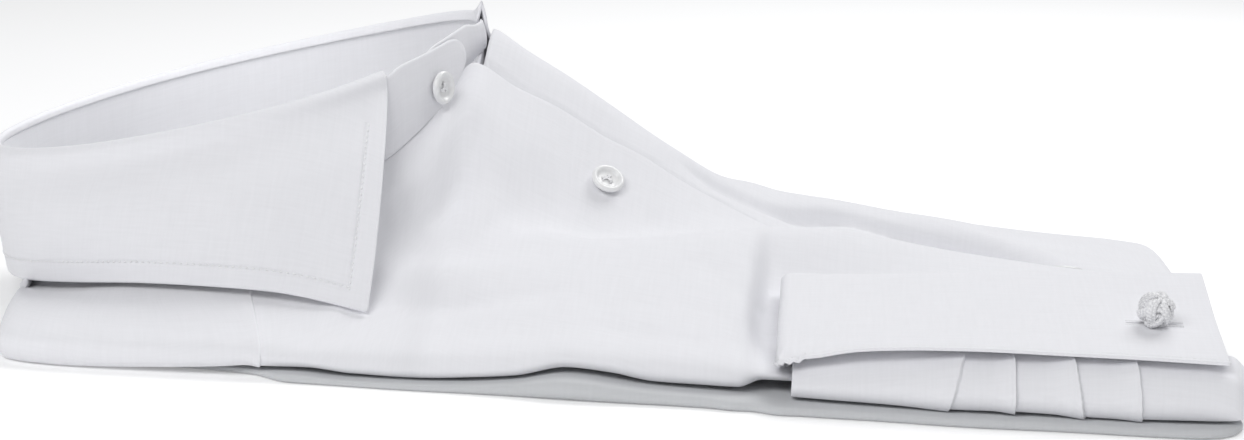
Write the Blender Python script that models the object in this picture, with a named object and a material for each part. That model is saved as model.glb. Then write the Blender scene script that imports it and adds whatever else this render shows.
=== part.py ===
"""Long sleeve dress shirt, folded flat and lying on its back.

X runs from the collar to the folded hem, Y across the shirt from the side with the
turned-back cuff, Z up from the surface it lies on. Sizes are in millimetres.
"""

import math

import bpy
import numpy as np

MM = 0.001
CLOTH = 1.2
GAP = 0.35
LAP = CLOTH + GAP

COLLAR_LEAF = 1.2
LEAF_CLEAR = 3.2
FLICK = 3.0
STAND_LEAD = 1.9
STAND_OUT = -0.9
STAND_BOW = 0.5
BUTTON_D = 11.5
BUTTON_T = 2.6
BUTTON_RIM = 1.3
BUTTON_LIFT = 0.6
BUTTONS_AT = ((-24.0, -3.8), (57.5, 0.5), (137.5, -0.5))
CUFF_PLY = 1.2
CUFF_HALF = 3.2
CUFF_MOUTH = 0.5
SLEEVE_WALL = 2.2
KNOT_D = 12.0

# Tilt of the collar's roll line: height at the nape, rise toward the front, rise across.
ROLL_Z = 54.7
ROLL_X0 = -232.0
ROLL_RISE = 0.256
ROLL_CROSS = 0.114

# Collar ring, from the covered end of the stand round the nape to the end on top.
# x, y: roll line. drop: stand height. flare: how far the neckline lies outside the roll.
# ex, ey, ez: free edge of the leaf on the same radial line.
COLLAR = """
 x     y    drop  flare  ex    ey   ez
 -86  -13   24    1.0   -60    92   30
 -80    4   20    1.5   -60    92   30
 -75   21   15    2.0   -60    92   30
 -71   35   12    2.0   -60    92   31
 -83   48   19    3.0   -82    93   33
-109   54   28    3.5  -114    91   33
-140   56   34    3.5  -146    87   30
-170   54   37    3.5  -178    78   26
-197   46   38    3.0  -206    62   20
-218   32   39   -1.0  -222    38   14
-230   17   40   -5.0  -229    19   10
-235    0   40   -8.0  -231     0    9
-230  -18   40   -5.0  -226   -22   10
-214  -35   38   -1.0  -213   -46   13
-190  -48   38    3.0  -192   -64   17
-160  -54   36    3.5  -163   -77   21
-131  -52   34    3.5  -132   -82   22
-111  -44   32    3.0  -113   -83   21
 -96  -30   30    2.0   -90   -84   17
 -88  -17   26    1.5   -90   -84   17
 -81   -3   21    1.5   -90   -84   17
 -76   12   15    1.5   -90   -84   17
"""
LEAF_FIRST = 3
LEAF_LAST = 18

# Front on the cuff's side, a row per section from the yoke seam to the folded hem.
# top: neckline or placket edge. a, b: placket and valley. r: ridge. m, s: near slope.
# n: outermost point. lift: height of the cloth's lowest point above the surface.
NEAR = """
 xt    yt    zt   xl    ya   za    yb   zb    yr   zr    ym   zm    ys   zs    yn    zn    lift
-104   12    0  -118  -64   31   -71   25   -79  19.0  -88  16.5  -98  14.5  -112.0  7.0   3.5
-104   12    0  -104  -56   40   -66   30   -77  19.0  -88  15.5  -98  12.8  -112.0  6.0   3.6
-104   12    0   -90  -41   47   -46   38   -53  31.0  -68  22.0  -84  14.8  -112.0  4.4   2.4
-104   12    0   -77  -24   56   -35   43   -46  32.2  -66  23.0  -84  15.4  -112.5  4.2   2.3
 -70   12   84.5 -65   -3   72   -25   46   -44  32.8  -66  24.0  -84  16.0  -113.0  4.4   2.6
 -55   12   76.5 -53   -3   64   -24   42   -43  32.9  -66  25.0  -86  17.0  -113.0  5.2   3.4
 -40   12   70.0 -39   -3   57   -22   39   -42  33.2  -66  26.0  -88  18.0  -113.0  7.0   4.8
 -23   12   60.2 -23   -3   48.5 -20   37   -41  34.3  -66  27.2  -88  19.4  -112.5 11.5   8.2
 -10   12   54.2  -9   -3   43.4 -18   35.2 -40  35.0  -66  27.2  -88  19.2  -112.5 10.5   7.2
   3   12   46.6   3   -3   39.4 -17   34   -37  36.2  -64  27.6  -88  18.8  -112.5  8.5   5.4
  17   11.5 39.6  17   -3   35.8 -15   34   -33  37.2  -60  28.4  -88  18.4  -112.5  8.0   5.0
  30   10   34.0  29   -3   33.2 -12   34.4 -26  37.4  -54  28.6  -88  16.4  -112.0  7.2   4.6
  38    9   31.0  37   -2   32.4  -9   34.8 -20  37.2  -48  21.4  -86  12.0  -108.0  8.6   6.3
  50    8   25.2  49   -2   30.2  -9   34.2 -16  37.0  -48  20.2  -86  11.6  -107.5  8.6   6.2
  66    6   23.6  66   -1   28.2  -7   33.4 -13  35.8  -48  21.0  -86  12.0  -107.5  8.6   6.2
  85    5   21.6  85   -1   25.6  -7   30.2 -13  32.7  -48  22.2  -86  12.4  -107.5  8.6   6.2
 105    5   20.0 105   -1   23.4  -7   27.6 -14  30.2  -48  23.4  -86  12.6  -107.5  8.6   6.2
 135    5   19.4 135   -2   21.6  -9   25.4 -17  28.0  -48  24.0  -86  12.6  -107.5  8.6   6.2
 165    5   18.0 165   -2   20.2  -9   23.2 -17  25.4  -48  23.4  -86  12.2  -107.5  8.6   6.2
 177    5   16.4 177   -2   18.2  -9   20.2 -17  22.0  -48  21.0  -86  11.6  -107.0  8.6   6.2
 182    5   13.0 182   -2   14.4  -9   15.4 -17  16.2  -48  15.4  -86  10.4  -105.5  8.2   6.2
 184    5    8.4 184   -2    8.8  -9    9.2 -17   9.4  -48   9.0  -86   8.0  -103.5  7.4   6.2
"""
NECK_ROWS = 4
NEAR_NECK = (15.8, 17.0, 18.3, 19.6)

# The other front. u: lapped edge under the placket. e: where it comes out.
# c: crest. m, s: far slope. n: outermost point.
FAR = """
 xt    yt    zt   xl    ya   za    yb   zb    yc   zc    ym   zm    ys   zs    yn    zn    lift
-104  -10    0  -118   66   41    74   35    82  28.0   91  22.0  100  17.0   112.5  8.0   3.5
-104  -10    0  -104   62   52    73   41    84  30.0   93  23.0  102  16.5   113.0  8.0   3.5
-104  -10    0   -88   56   68    68   54    81  37.0   91  27.0  101  18.0   113.0  8.0   3.5
-104  -10    0   -72   42   80    54   70    70  52.0   86  32.0   99  18.0   113.5  8.0   3.5
 -68  -10   66   -60    2   75.5  14   84.2  30  94.6   56  72.0   90  27.0   114.0  8.0   3.5
 -55  -10   56   -53    2   66    14   76.0  30  88.0   56  64.0   90  25.0   114.0  8.0   3.5
 -40  -10   50   -39    2   60    14   69.6  30  79.8   58  56.0   91  23.0   114.5  8.0   3.5
 -23  -10   43   -23    2   51    14   59.8  30  69.2   60  47.0   92  21.0   115.0  8.0   3.5
 -10  -10   37.5  -9    2   45.6  14   53.8  30  60.6   62  41.0   93  19.5   115.0  8.0   3.5
   3  -10   34.6   3    2   40.0  14   46.0  31  52.8   64  37.0   94  18.5   115.5  8.0   3.5
  17  -10   32.2  17    2   35.6  14   39.2  36  44.4   68  33.0   95  18.0   116.0  8.0   3.5
  30  -10   32.2  29    2   31.0  12.5 33.2  44  40.0   73  31.5   97  17.5   116.0  8.0   3.5
  38  -10   32.4  37    2   29.4  11.5 29.8  44  38.0   74  30.6   98  17.0   116.0  8.0   3.5
  50  -10   32.0  49    2   26.4  10.6 24.4  40  36.2   74  30.0   99  17.0   116.0  8.0   3.5
  66   -9   30.4  66    1   24.4   8.6 22.8  34  34.2   72  29.2  100  17.0   116.5  8.0   3.5
  85   -9   28.0  85    1   22.4   7.6 20.8  31  31.4   76  26.0  102  16.5   116.5  8.0   3.5
 105   -9   24.8 105    1   20.6   7.6 19.3  29  27.6   86  22.6  105  15.6   117.0  7.6   3.5
 135   -9   22.4 135    1   19.4   7.6 18.7  26  23.4   92  19.0  108  14.2   117.0  7.4   3.5
 165   -9   20.4 165    1   17.6   7.6 17.3  24  19.8   96  16.4  110  13.0   117.0  7.0   3.5
 177   -9   18.2 177    1   16.0   7.6 15.6  24  17.4   96  14.8  110  12.0   116.5  6.8   3.5
 182   -9   13.6 182    1   12.4   7.6 12.2  24  12.8   96  11.4  109   9.8   115.0  6.2   3.5
 184   -9    7.2 184    1    7.4   7.6  7.4  24   7.8   96   7.4  107   7.0   113.0  5.4   3.5
"""
FAR_NECK = (6.1, 4.9, 3.9, 3.1)

# Yoke, a row per radial line from one seam round the nape to the other.
# k: place on the collar ring. s: top of the outer edge. o: outermost.
YOKE = """
 k     xs    ys    zs    xo    yo    zo   lift
 6.1  -124    97   18   -118  112.5  8.0  3.5
 7.0  -154    97   17   -149  112.5  7.0  1.6
 7.8  -180    96   15.5 -178  112.0  6.0  0.4
 8.4  -195    90   14   -195  107.0  5.0  0.4
 9.0  -202    74   12.5 -205   86.0  5.0  0.4
10.0  -211    38   10   -215   42.0  5.0  0.4
11.0  -219     0    8   -222    0.0  4.6  0.4
12.0  -213   -38   10.5 -216  -42.0  5.0  0.4
13.0  -207   -72   14   -208  -85.0  6.0  0.4
13.6  -200   -92   13.5 -201 -106.5  6.0  0.4
14.2  -182   -98   14.0 -180 -112.0  6.0  0.4
15.0  -154   -97   14   -149 -112.5  5.6  1.6
15.8  -124   -98   14.5 -118 -112.0  7.0  3.5
"""

# Layers folded behind: outline and height of the lip that shows under the fronts.
LAYERS = """
 x     near    far    lip   core
-210   -28     30    1.6    3.0
-204   -50     52    2.0    5.0
-196   -76     80    2.4    7.0
-180   -98     100   2.6    8.0
-165  -102     103   2.6    8.5
-150  -103.5   104   2.4    9.0
-136  -104.5   105   1.5    9.5
-122  -107     108   1.9   10.0
-108  -115     111   2.6   10.0
 -90  -116     112   1.8   10.0
 -60  -116.5   112   2.4   10.5
 -40  -117     112   4.0   11.0
 -22  -117     112   6.6   12.0
   2  -118     112   4.4   12.0
  23  -119     112   3.6   12.0
  45  -122     112   2.8   10.0
 108  -124.5   112   2.8    9.0
 165  -124     112   2.8    9.0
 176  -120     110   2.8    8.0
 181  -112     104   2.4    5.0
"""

# Cuff over the front, from its rounded fold to its open ends.
# u: opening edge. m: middle. l: free edge. z is the height of the cuff's middle surface.
CUFF = """
 x     yu    zu    ym    zm    yl    zl
  40  -48   25.6  -84   17.6  -114  10.6
  50  -48   25.8  -84   18.4  -114  13.4
  66  -48   26.4  -83   20.0  -114  16.6
  85  -48   27.6  -82   21.4  -114  18.0
 110  -48   29.4  -82   22.8  -114  18.6
 140  -48   31.0  -82   23.8  -114  18.6
 175  -48   32.2  -82   24.4  -114  18.2
"""
UNDER_SHARE = 0.80

# Sleeve between the cuff and the layers behind, which it joins round the edge.
# t: under the cuff. s: shoulder. o: outermost. b: bottom.
SLEEVE = """
 x     yt      zt    ys     zs     yo     zo    yb    zb
  46  -103.0  14.6  -112   12.0   -117   7.6  -103   3.4
  56  -103.0  16.8  -113   13.0   -118   8.0  -103   3.4
  68  -103.0  18.6  -114   14.0   -119   8.2  -103   3.4
  85  -103.0  20.2  -115   15.0   -120   8.6  -103   3.4
 110  -103.0  21.0  -116   16.0   -120.5 9.0  -103   3.4
 140  -103.0  21.2  -116   16.4   -120.5 9.0  -103   3.4
 165  -103.0  21.2  -116   16.4   -119.5 8.8  -103   3.4
 177  -103.5  21.0  -115   15.6   -118   8.4  -103   3.4
 182  -105.0  17.6  -112   13.6   -115   8.0  -103   3.4
"""
PLEATS = ((96, 1.4, 9), (112, 1.8, 7), (129, 1.9, 8), (148, 1.6, 8))

KNOT_AT = (156.0, -86.0)
SLIT_L = 17.0
SLIT_W = 1.9
STEM_W = 1.2

WHITE = (0.86, 0.87, 0.89)
SHADE = (0.80, 0.81, 0.83)
PEARL = (0.90, 0.90, 0.90)


def table(text):
    """The columns of a table by name."""
    lines = [line.split() for line in text.strip().splitlines()]
    rows = np.array([[float(value) for value in line] for line in lines[1:]])
    return {name: rows[:, i] for i, name in enumerate(lines[0])}


def hermite(values, at):
    """Values of a row-per-station array at fractional rows, smooth and without overshoot."""
    values = np.asarray(values, float)
    flat = values.reshape(len(values), -1)
    step = np.diff(flat, axis=0)
    slope = np.zeros_like(flat)
    slope[0], slope[-1] = step[0], step[-1]
    same = step[:-1] * step[1:] > 0
    total = np.where(same, step[:-1] + step[1:], 1.0)
    slope[1:-1] = np.where(same, 2 * step[:-1] * step[1:] / total, 0.0)
    at = np.clip(np.atleast_1d(np.asarray(at, float)), 0, len(flat) - 1)
    row = np.minimum(at.astype(int), len(flat) - 2)
    t = (at - row)[:, None]
    a, b = flat[row], flat[row + 1]
    ma, mb = slope[row], slope[row + 1]
    out = (2 * t**3 - 3 * t**2 + 1) * a + (t**3 - 2 * t**2 + t) * ma
    out = out + (3 * t**2 - 2 * t**3) * b + (t**3 - t**2) * mb
    return out.reshape((len(at),) + values.shape[1:])


def flowing(points, at):
    """A Catmull-Rom curve through the points, at fractional indices."""
    points = np.asarray(points, float)
    slope = np.gradient(points, axis=0)
    row = np.minimum(np.asarray(at, float).astype(int), len(points) - 2)
    t = (np.asarray(at, float) - row)[:, None]
    out = (2 * t**3 - 3 * t**2 + 1) * points[row] + (t**3 - 2 * t**2 + t) * slope[row]
    return out + (3 * t**2 - 2 * t**3) * points[row + 1] + (t**3 - t**2) * slope[row + 1]


def section(points, count, crowd=None):
    """A smooth curve through control points, cut at equal steps of its length."""
    points = np.asarray(points, float)
    chord = np.linalg.norm(np.diff(points, axis=0), axis=1)
    place = np.concatenate([[0], np.cumsum(np.sqrt(chord + 1e-9))])
    slope = np.gradient(points, place, axis=0)
    fine = np.linspace(0, place[-1], 260)
    row = np.clip(np.searchsorted(place, fine, side="right") - 1, 0, len(points) - 2)
    width = np.diff(place)[row][:, None]
    t = (fine - place[row])[:, None] / width
    curve = (2 * t**3 - 3 * t**2 + 1) * points[row]
    curve = curve + (t**3 - 2 * t**2 + t) * slope[row] * width
    curve = curve + (3 * t**2 - 2 * t**3) * points[row + 1]
    curve = curve + (t**3 - t**2) * slope[row + 1] * width
    length = np.concatenate([[0], np.cumsum(np.linalg.norm(np.diff(curve, axis=0), axis=1))])
    share = np.linspace(0, 1, count) if crowd is None else np.asarray(crowd)
    want = share * length[-1]
    return np.stack([np.interp(want, length, curve[:, i]) for i in range(3)], axis=1)


def normals(grid):
    """Unit normals of a grid of points, along rows crossed with along columns."""
    along = np.gradient(grid, axis=0)
    across = np.gradient(grid, axis=1)
    normal = np.cross(along, across)
    length = np.linalg.norm(normal, axis=2, keepdims=True)
    return normal / np.maximum(length, 1e-9)


def moved(grid, distance):
    return grid + normals(grid) * distance


def new_mesh(name, points, faces, colour, rough=0.85):
    mesh = bpy.data.meshes.new(name)
    mesh.from_pydata((np.asarray(points) * MM).tolist(), [], faces)
    mesh.validate()
    mesh.update()
    mesh.shade_smooth()
    obj = bpy.data.objects.new(name, mesh)
    SHIRT.objects.link(obj)
    paint = bpy.data.materials.new(name)
    paint.use_nodes = True
    shader = paint.node_tree.nodes["Principled BSDF"]
    shader.inputs["Base Color"].default_value = (*colour, 1)
    shader.inputs["Roughness"].default_value = rough
    mesh.materials.append(paint)
    return obj


def solid_sheet(name, face, back, colour=WHITE):
    """Closes the space between two grids of the same size: the face shows, the back is inside."""
    rows, cols = face.shape[:2]
    points = np.concatenate([face.reshape(-1, 3), back.reshape(-1, 3)])
    low = rows * cols
    faces = []
    for i in range(rows - 1):
        for j in range(cols - 1):
            a, b = i * cols + j, i * cols + j + 1
            c, d = a + cols + 1, a + cols
            faces.append((a, d, c, b))
            faces.append((low + a, low + b, low + c, low + d))
    rim = [i * cols for i in range(rows)]
    rim += [(rows - 1) * cols + j for j in range(1, cols)]
    rim += [i * cols + cols - 1 for i in range(rows - 2, -1, -1)]
    rim += [j for j in range(cols - 2, 0, -1)]
    for a, b in zip(rim, rim[1:] + rim[:1]):
        faces.append((b, a, low + a, low + b))
    return new_mesh(name, points, faces, colour)


def cloth(name, face, wall=CLOTH, colour=WHITE):
    return solid_sheet(name, face, moved(face, -wall), colour)


# ---------------------------------------------------------------- collar ring
def roll_height(x, y):
    return ROLL_Z + ROLL_RISE * (x - ROLL_X0) + ROLL_CROSS * y


def ring_out(k):
    """Outward direction in plan at place k of the collar ring."""
    ring = table(COLLAR)
    plan = np.stack([ring["x"], ring["y"]], axis=1)
    k = np.clip(np.asarray(k, float), 0, len(plan) - 1)
    ahead = flowing(plan, np.clip(k + 0.05, 0, len(plan) - 1.001))
    behind = flowing(plan, np.clip(k - 0.05, 0, len(plan) - 1.001))
    step = ahead - behind
    out = np.stack([step[:, 1], -step[:, 0]], axis=1)
    return out / np.linalg.norm(out, axis=1, keepdims=True)


def lapped(k):
    """How far the end on top lies outside the covered end."""
    return STAND_LEAD * np.clip((np.asarray(k, float) - 16.5) / 2.5, 0, 1) ** 2


def ring(k, out=0.0, down=0.0):
    """Points of the collar ring: moved outward, and down from the roll line."""
    columns = table(COLLAR)
    plan = np.stack([columns["x"], columns["y"]], axis=1)
    k = np.atleast_1d(np.asarray(k, float))
    flat = flowing(plan, np.clip(k, 0, len(plan) - 1.001))
    flat = flat + ring_out(k) * (np.asarray(out) + lapped(k))[:, None]
    height = roll_height(flat[:, 0], flat[:, 1]) - down
    return np.concatenate([flat, height[:, None]], axis=1)


def neckline(k, inset=1.1):
    """The seam of stand and body."""
    columns = table(COLLAR)
    k = np.atleast_1d(np.asarray(k, float))
    drop = hermite(columns["drop"], k)
    flare = hermite(columns["flare"], k)
    return ring(k, flare + inset, drop)


def make_stand():
    """The band round the neck, its rounded ends lapped at the front."""
    columns = table(COLLAR)
    last = len(columns["x"]) - 1
    k = np.concatenate([np.linspace(0, 1, 5), np.linspace(1.4, last - 1, 32)])
    k = np.concatenate([k, np.linspace(last - 0.8, last - 0.02, 5)])
    drop = hermite(columns["drop"], k)
    flare = hermite(columns["flare"], k)
    end = np.clip(np.minimum(k - 0.0, last - k) / 0.8, 0, 1)
    corner = 1 - np.sqrt(np.clip(1 - (1 - end) ** 2, 0, 1))
    under_leaf = np.clip(np.minimum(k - LEAF_FIRST + 1.0, LEAF_LAST + 0.6 - k) / 0.5, 0, 1)
    top = 1.5 + 5.2 * under_leaf + corner * 7.0
    low = drop - 0.6 - corner * 4.0
    shares = np.linspace(0, 1, 6)
    face = []
    for share in shares:
        down = top + (low - top) * share
        bow = STAND_BOW * math.sin(math.pi * share)
        face.append(ring(k, flare * down / drop + STAND_OUT + bow, down))
    return cloth("collar_stand", np.stack(face, axis=1))


def leaf_edge(k):
    """The leaf's free edge on the radial line k."""
    columns = table(COLLAR)
    edge = np.stack([columns["ex"], columns["ey"], columns["ez"]], axis=1)
    span = LEAF_LAST - LEAF_FIRST
    return flowing(edge[LEAF_FIRST : LEAF_LAST + 1], [min(k - LEAF_FIRST, span - 0.001)])[0]


def leaf_rows():
    inner = np.linspace(LEAF_FIRST + 0.5, LEAF_LAST - 0.5, 25)
    first = [LEAF_FIRST, LEAF_FIRST + 0.12, LEAF_FIRST + 0.28]
    last = [LEAF_LAST - 0.28, LEAF_LAST - 0.12, LEAF_LAST]
    return np.concatenate([first, inner, last])


def make_leaf():
    """The collar's leaf: from its seam on the stand over the roll and down to its points."""
    face = []
    for k in leaf_rows():
        seam = ring([k], -2.0, 5.4)[0]
        rise = ring([k], -1.6, 1.4)[0]
        crown = ring([k], 0.0, -FLICK * max(0, 1 - (k - LEAF_FIRST) / 0.4))[0]
        fall = ring([k], 2.0, 1.6)[0]
        hang = ring([k], 2.9, 6.5)[0]
        hem = leaf_edge(k)
        nape = math.exp(-(((k - 11) / 2.4) ** 2))
        out = np.append(ring_out([k])[0], 0.0) * (1 - nape)
        mid = hang * 0.62 + hem * 0.38 + out * 4.0 + np.array([0, 0, 1.5])
        low = hang * 0.25 + hem * 0.75 + out * 3.4
        spread = (0, 0.05, 0.075, 0.1, 0.13, 0.2, 0.32, 0.46, 0.6, 0.74, 0.87, 1)
        face.append(section([seam, rise, crown, fall, hang, mid, low, hem], 0, spread))
    face = np.stack(face)[:, ::-1]
    return cloth("collar_leaf", face, COLLAR_LEAF)


# ---------------------------------------------------------------- body
def near_sections(rows=26, cols=16):
    """Outer surface of the front on the cuff's side, from its top edge round the near edge."""
    columns = table(NEAR)
    stack = np.stack(list(columns.values()), axis=1)
    tops = neckline(NEAR_NECK)
    tops[:, 2] -= 1.2
    stack[:NECK_ROWS, 0:3] = tops
    names = list(columns)
    at = np.linspace(0, len(stack) - 1, rows)
    grid = []
    for values in hermite(stack, at):
        v = dict(zip(names, values))
        grid.append(section(front_points(v, "r", 1), cols))
    return np.stack(grid)


def front_points(v, crest, side):
    """Control points of one section, side +1 for the near front and -1 for the far one."""

    def place(y, z):
        share = (v["yt"] - y) / (v["yt"] - v["yn"])
        x = v["xt"] + (v["xl"] - v["xt"]) * min(max(share, 0), 1)
        return (x, y, z)

    low = v["lift"]
    return [
        (v["xt"], v["yt"], v["zt"]),
        place(v["ya"], v["za"]),
        place(v["yb"], v["zb"]),
        place(v["y" + crest], v["z" + crest]),
        place(v["ym"], v["zm"]),
        place(v["ys"], v["zs"]),
        place(v["yn"] + side * 2.2, v["zn"] * 0.45 + v["zs"] * 0.4 + 1.2),
        place(v["yn"], v["zn"]),
        place(v["yn"] + side * 1.6, low + 0.6),
        place(v["yn"] + side * 5.0, low),
        place(v["yn"] + side * 11.0, low + 0.3),
    ]


def split_section(points, index, first, rest):
    """A smooth curve cut so that one column lies on a chosen control point."""
    curve = section(points, 400)
    nearest = int(np.argmin(np.linalg.norm(curve - np.asarray(points[index]), axis=1)))
    return np.concatenate([
        section(curve[: nearest + 1 : 3], first + 1)[:-1],
        section(curve[nearest::3], rest),
    ])


def far_sections(rows=26, lap=4, cols=12):
    columns = table(FAR)
    stack = np.stack(list(columns.values()), axis=1)
    tops = neckline(FAR_NECK)
    tops[:, 2] -= 1.2
    stack[:NECK_ROWS, 0:3] = tops
    names = list(columns)
    at = np.linspace(0, len(stack) - 1, rows)
    grid = []
    for values in hermite(stack, at):
        v = dict(zip(names, values))
        grid.append(split_section(front_points(v, "c", -1), 2, lap, cols))
    return np.stack(grid)


def pressed_under(points, cover, depth, edge):
    """Points lowered to lie a depth below a covering grid, where the cover reaches over them."""
    lift = -normals(cover)
    flat = cover.reshape(-1, 3)
    up = lift.reshape(-1, 3)
    out = points.copy()
    for i, j in np.ndindex(points.shape[:2]):
        x, y, z = points[i, j]
        nearest = np.argmin(np.hypot(flat[:, 0] - x, flat[:, 1] - y))
        at, n = flat[nearest], up[nearest]
        if y > at[1] + edge or n[2] < 0.2:
            continue
        top = at[2] - ((x - at[0]) * n[0] + (y - at[1]) * n[1]) / n[2]
        out[i, j, 2] = min(z, top - depth / n[2])
    return out


def make_fronts():
    near = near_sections()
    cloth("front_right", near[::-1])
    far = far_sections()
    cover = near_sections(78, 90)[:, :60]
    far[:, :5] = pressed_under(far[:, :5], cover, LAP + 0.45, 3.4)
    cloth("front_left", far)


def yoke_sections(rows=25, cols=10):
    columns = table(YOKE)
    names = list(columns)
    stack = np.stack(list(columns.values()), axis=1)
    at = np.linspace(0, len(stack) - 1, rows)
    grid = []
    for values in hermite(stack, at):
        v = dict(zip(names, values))
        top = neckline([v["k"]])[0] - np.array([0, 0, 1.2])
        outer = np.array([v["xo"], v["yo"]])
        inward = np.array([-150.0, 0.0]) - outer
        inward = inward / np.linalg.norm(inward)
        low = outer + inward * 1.8
        tuck = outer + inward * 7.0
        points = [
            top,
            leaf_edge(v["k"]) - np.append(ring_out([v["k"]])[0] * 4.4, LEAF_CLEAR),
            (v["xs"], v["ys"], v["zs"]),
            (*(outer + inward * 1.6), v["zs"] * 0.5 + v["zo"] * 0.5),
            (*outer, v["zo"]),
            (*low, v["lift"] + 0.5),
            (*tuck, v["lift"]),
        ]
        grid.append(section(points, cols))
    return np.stack(grid)


def make_yoke():
    grid = yoke_sections()
    cols = grid.shape[1]
    for end, seam in ((0, far_sections()[0]), (-1, near_sections()[0])):
        grid[end] = section(seam, cols) - np.array([0.55, 0, 0])
    cloth("yoke", grid[::-1])


def make_layers():
    """What is folded behind the fronts: back, tails and the other sleeve, as one stack."""
    columns = table(LAYERS)
    names = list(columns)
    stack = np.stack(list(columns.values()), axis=1)
    at = np.linspace(0, len(stack) - 1, 26)
    rings = []
    for values in hermite(stack, at):
        v = dict(zip(names, values))
        y0, y1, lip, core = v["near"], v["far"], v["lip"], v["core"]
        lean = min(lip, 2.4)
        loop = [
            (y0 + 2.0, 0.0),
            (y0 + 0.5, lip * 0.12),
            (y0 + 0.1, lip * 0.30),
            (y0 + 0.7, lip * 0.46),
            (y0 + 0.2, lip * 0.62),
            (y0 + 0.6, lip * 0.84),
            (y0 + 2.2, lip),
            (y0 + 26.0, lip),
            (y0 + 34.0, lip * 0.4 + core * 0.6),
            (y0 + 44.0, core),
            (y1 - 40.0, core),
            (y1 - 30.0, lean * 0.4 + core * 0.6),
            (y1 - 22.0, lean),
            (y1 - 2.0, lean),
            (y1 - 0.5, lean * 0.7),
            (y1 - 0.9, lean * 0.5),
            (y1 - 0.2, lean * 0.3),
            (y1 - 2.0, 0.0),
        ]
        rings.append([(v["x"], y, z) for y, z in loop])
    count = len(rings[0])
    points = [point for loop in rings for point in loop]
    faces = [tuple(range(count))]
    for i in range(len(rings) - 1):
        for j in range(count):
            a, b = i * count + j, i * count + (j + 1) % count
            faces.append((a, a + count, b + count, b))
    last = (len(rings) - 1) * count
    faces.append(tuple(last + j for j in reversed(range(count))))
    return new_mesh("folded_layers", points, faces, SHADE)


# ---------------------------------------------------------------- cuff and sleeve
def cuff_point(x, share):
    """Middle surface of the cuff: share 0 is its opening edge, 1 its free edge."""
    columns = table(CUFF)
    row = np.interp(x, columns["x"], np.arange(len(columns["x"])))
    v = {name: float(hermite(column, [row])[0]) for name, column in columns.items()}
    points = [(x, v["yu"], v["zu"]), (x, v["ym"], v["zm"]), (x, v["yl"], v["zl"])]
    return flowing(points, [min(share * 2, 1.999)])[0]


def cuff_up(x, share):
    """Upward direction of the cuff's middle surface."""
    along = cuff_point(x + 1, share) - cuff_point(x - 1, share)
    across = cuff_point(x, max(share - 0.03, 0)) - cuff_point(x, min(share + 0.03, 1))
    up = np.cross(along, across)
    return up / np.linalg.norm(up)


def make_cuff():
    """A turned-back cuff: two plies over, two under, rounded at one side, ends meeting at the other."""
    columns = table(CUFF)
    left, right = columns["x"][0], columns["x"][-1]
    inner_half = CUFF_MOUTH
    outer_half = CUFF_HALF
    turn = (outer_half - inner_half) / 2
    middle = (outer_half + inner_half) / 2
    # Across the band: free edge of the turned-back ply, fold at the opening, seam with the sleeve.
    profile = [(share, outer_half) for share in (1.0, 0.84, 0.63, 0.4, 0.2, 0.07)]
    for angle in (90, 45, 0, -45, -90):
        a = math.radians(angle)
        profile.append((0.022 - 0.022 * math.cos(a), middle + turn * math.sin(a)))
    profile += [(share, inner_half) for share in (0.07, 0.3, 0.55, 0.77)]
    loop = [(x, 1.0) for x in np.linspace(right, left + 4, 9)]
    for angle in (60, 22, -22, -60):
        loop.append((None, math.radians(angle)))
    loop += [(x, -1.0) for x in np.linspace(left + 4, right, 9)]
    grid = []
    for x, side in loop:
        row = []
        for share, half in profile:
            under = (1 - (math.sin(side) if x is None else side)) / 2
            share = share * (1 - (1 - UNDER_SHARE) * under)
            if x is None:
                where = left + 4 - half * math.cos(side) * 1.1
                point = cuff_point(where, share) + cuff_up(where, share) * half * math.sin(side)
            else:
                point = cuff_point(x, share) + cuff_up(x, share) * half * side
            row.append(point)
        grid.append(row)
    cuff = cloth("cuff_right", np.array(grid)[::-1], CUFF_PLY)
    centre = cuff_point(KNOT_AT[0], 0.54)
    up = cuff_up(KNOT_AT[0], 0.54)
    slit = box("buttonhole_cutter", centre, up, (SLIT_L, SLIT_W, 16.0))
    cut = cuff.modifiers.new("buttonhole", "BOOLEAN")
    cut.operation = "DIFFERENCE"
    cut.solver = "EXACT"
    cut.object = slit
    return cuff


def box(name, centre, up, size):
    """A hidden cutter of the given size, its Z along the up direction."""
    x = np.array([1.0, 0.0, 0.0])
    y = np.cross(up, x)
    y = y / np.linalg.norm(y)
    x = np.cross(y, up)
    points = []
    for corner in range(8):
        signs = [1 if corner >> bit & 1 else -1 for bit in range(3)]
        points.append(centre + x * signs[0] * size[0] / 2 + y * signs[1] * size[1] / 2
                      + up * signs[2] * size[2] / 2)
    faces = [(0, 2, 3, 1), (4, 5, 7, 6), (0, 1, 5, 4), (2, 6, 7, 3), (0, 4, 6, 2), (1, 3, 7, 5)]
    obj = new_mesh(name, points, faces, WHITE)
    SHIRT.objects.unlink(obj)
    CUTTERS.objects.link(obj)
    obj.hide_render = True
    obj.display_type = "WIRE"
    return obj


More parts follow.
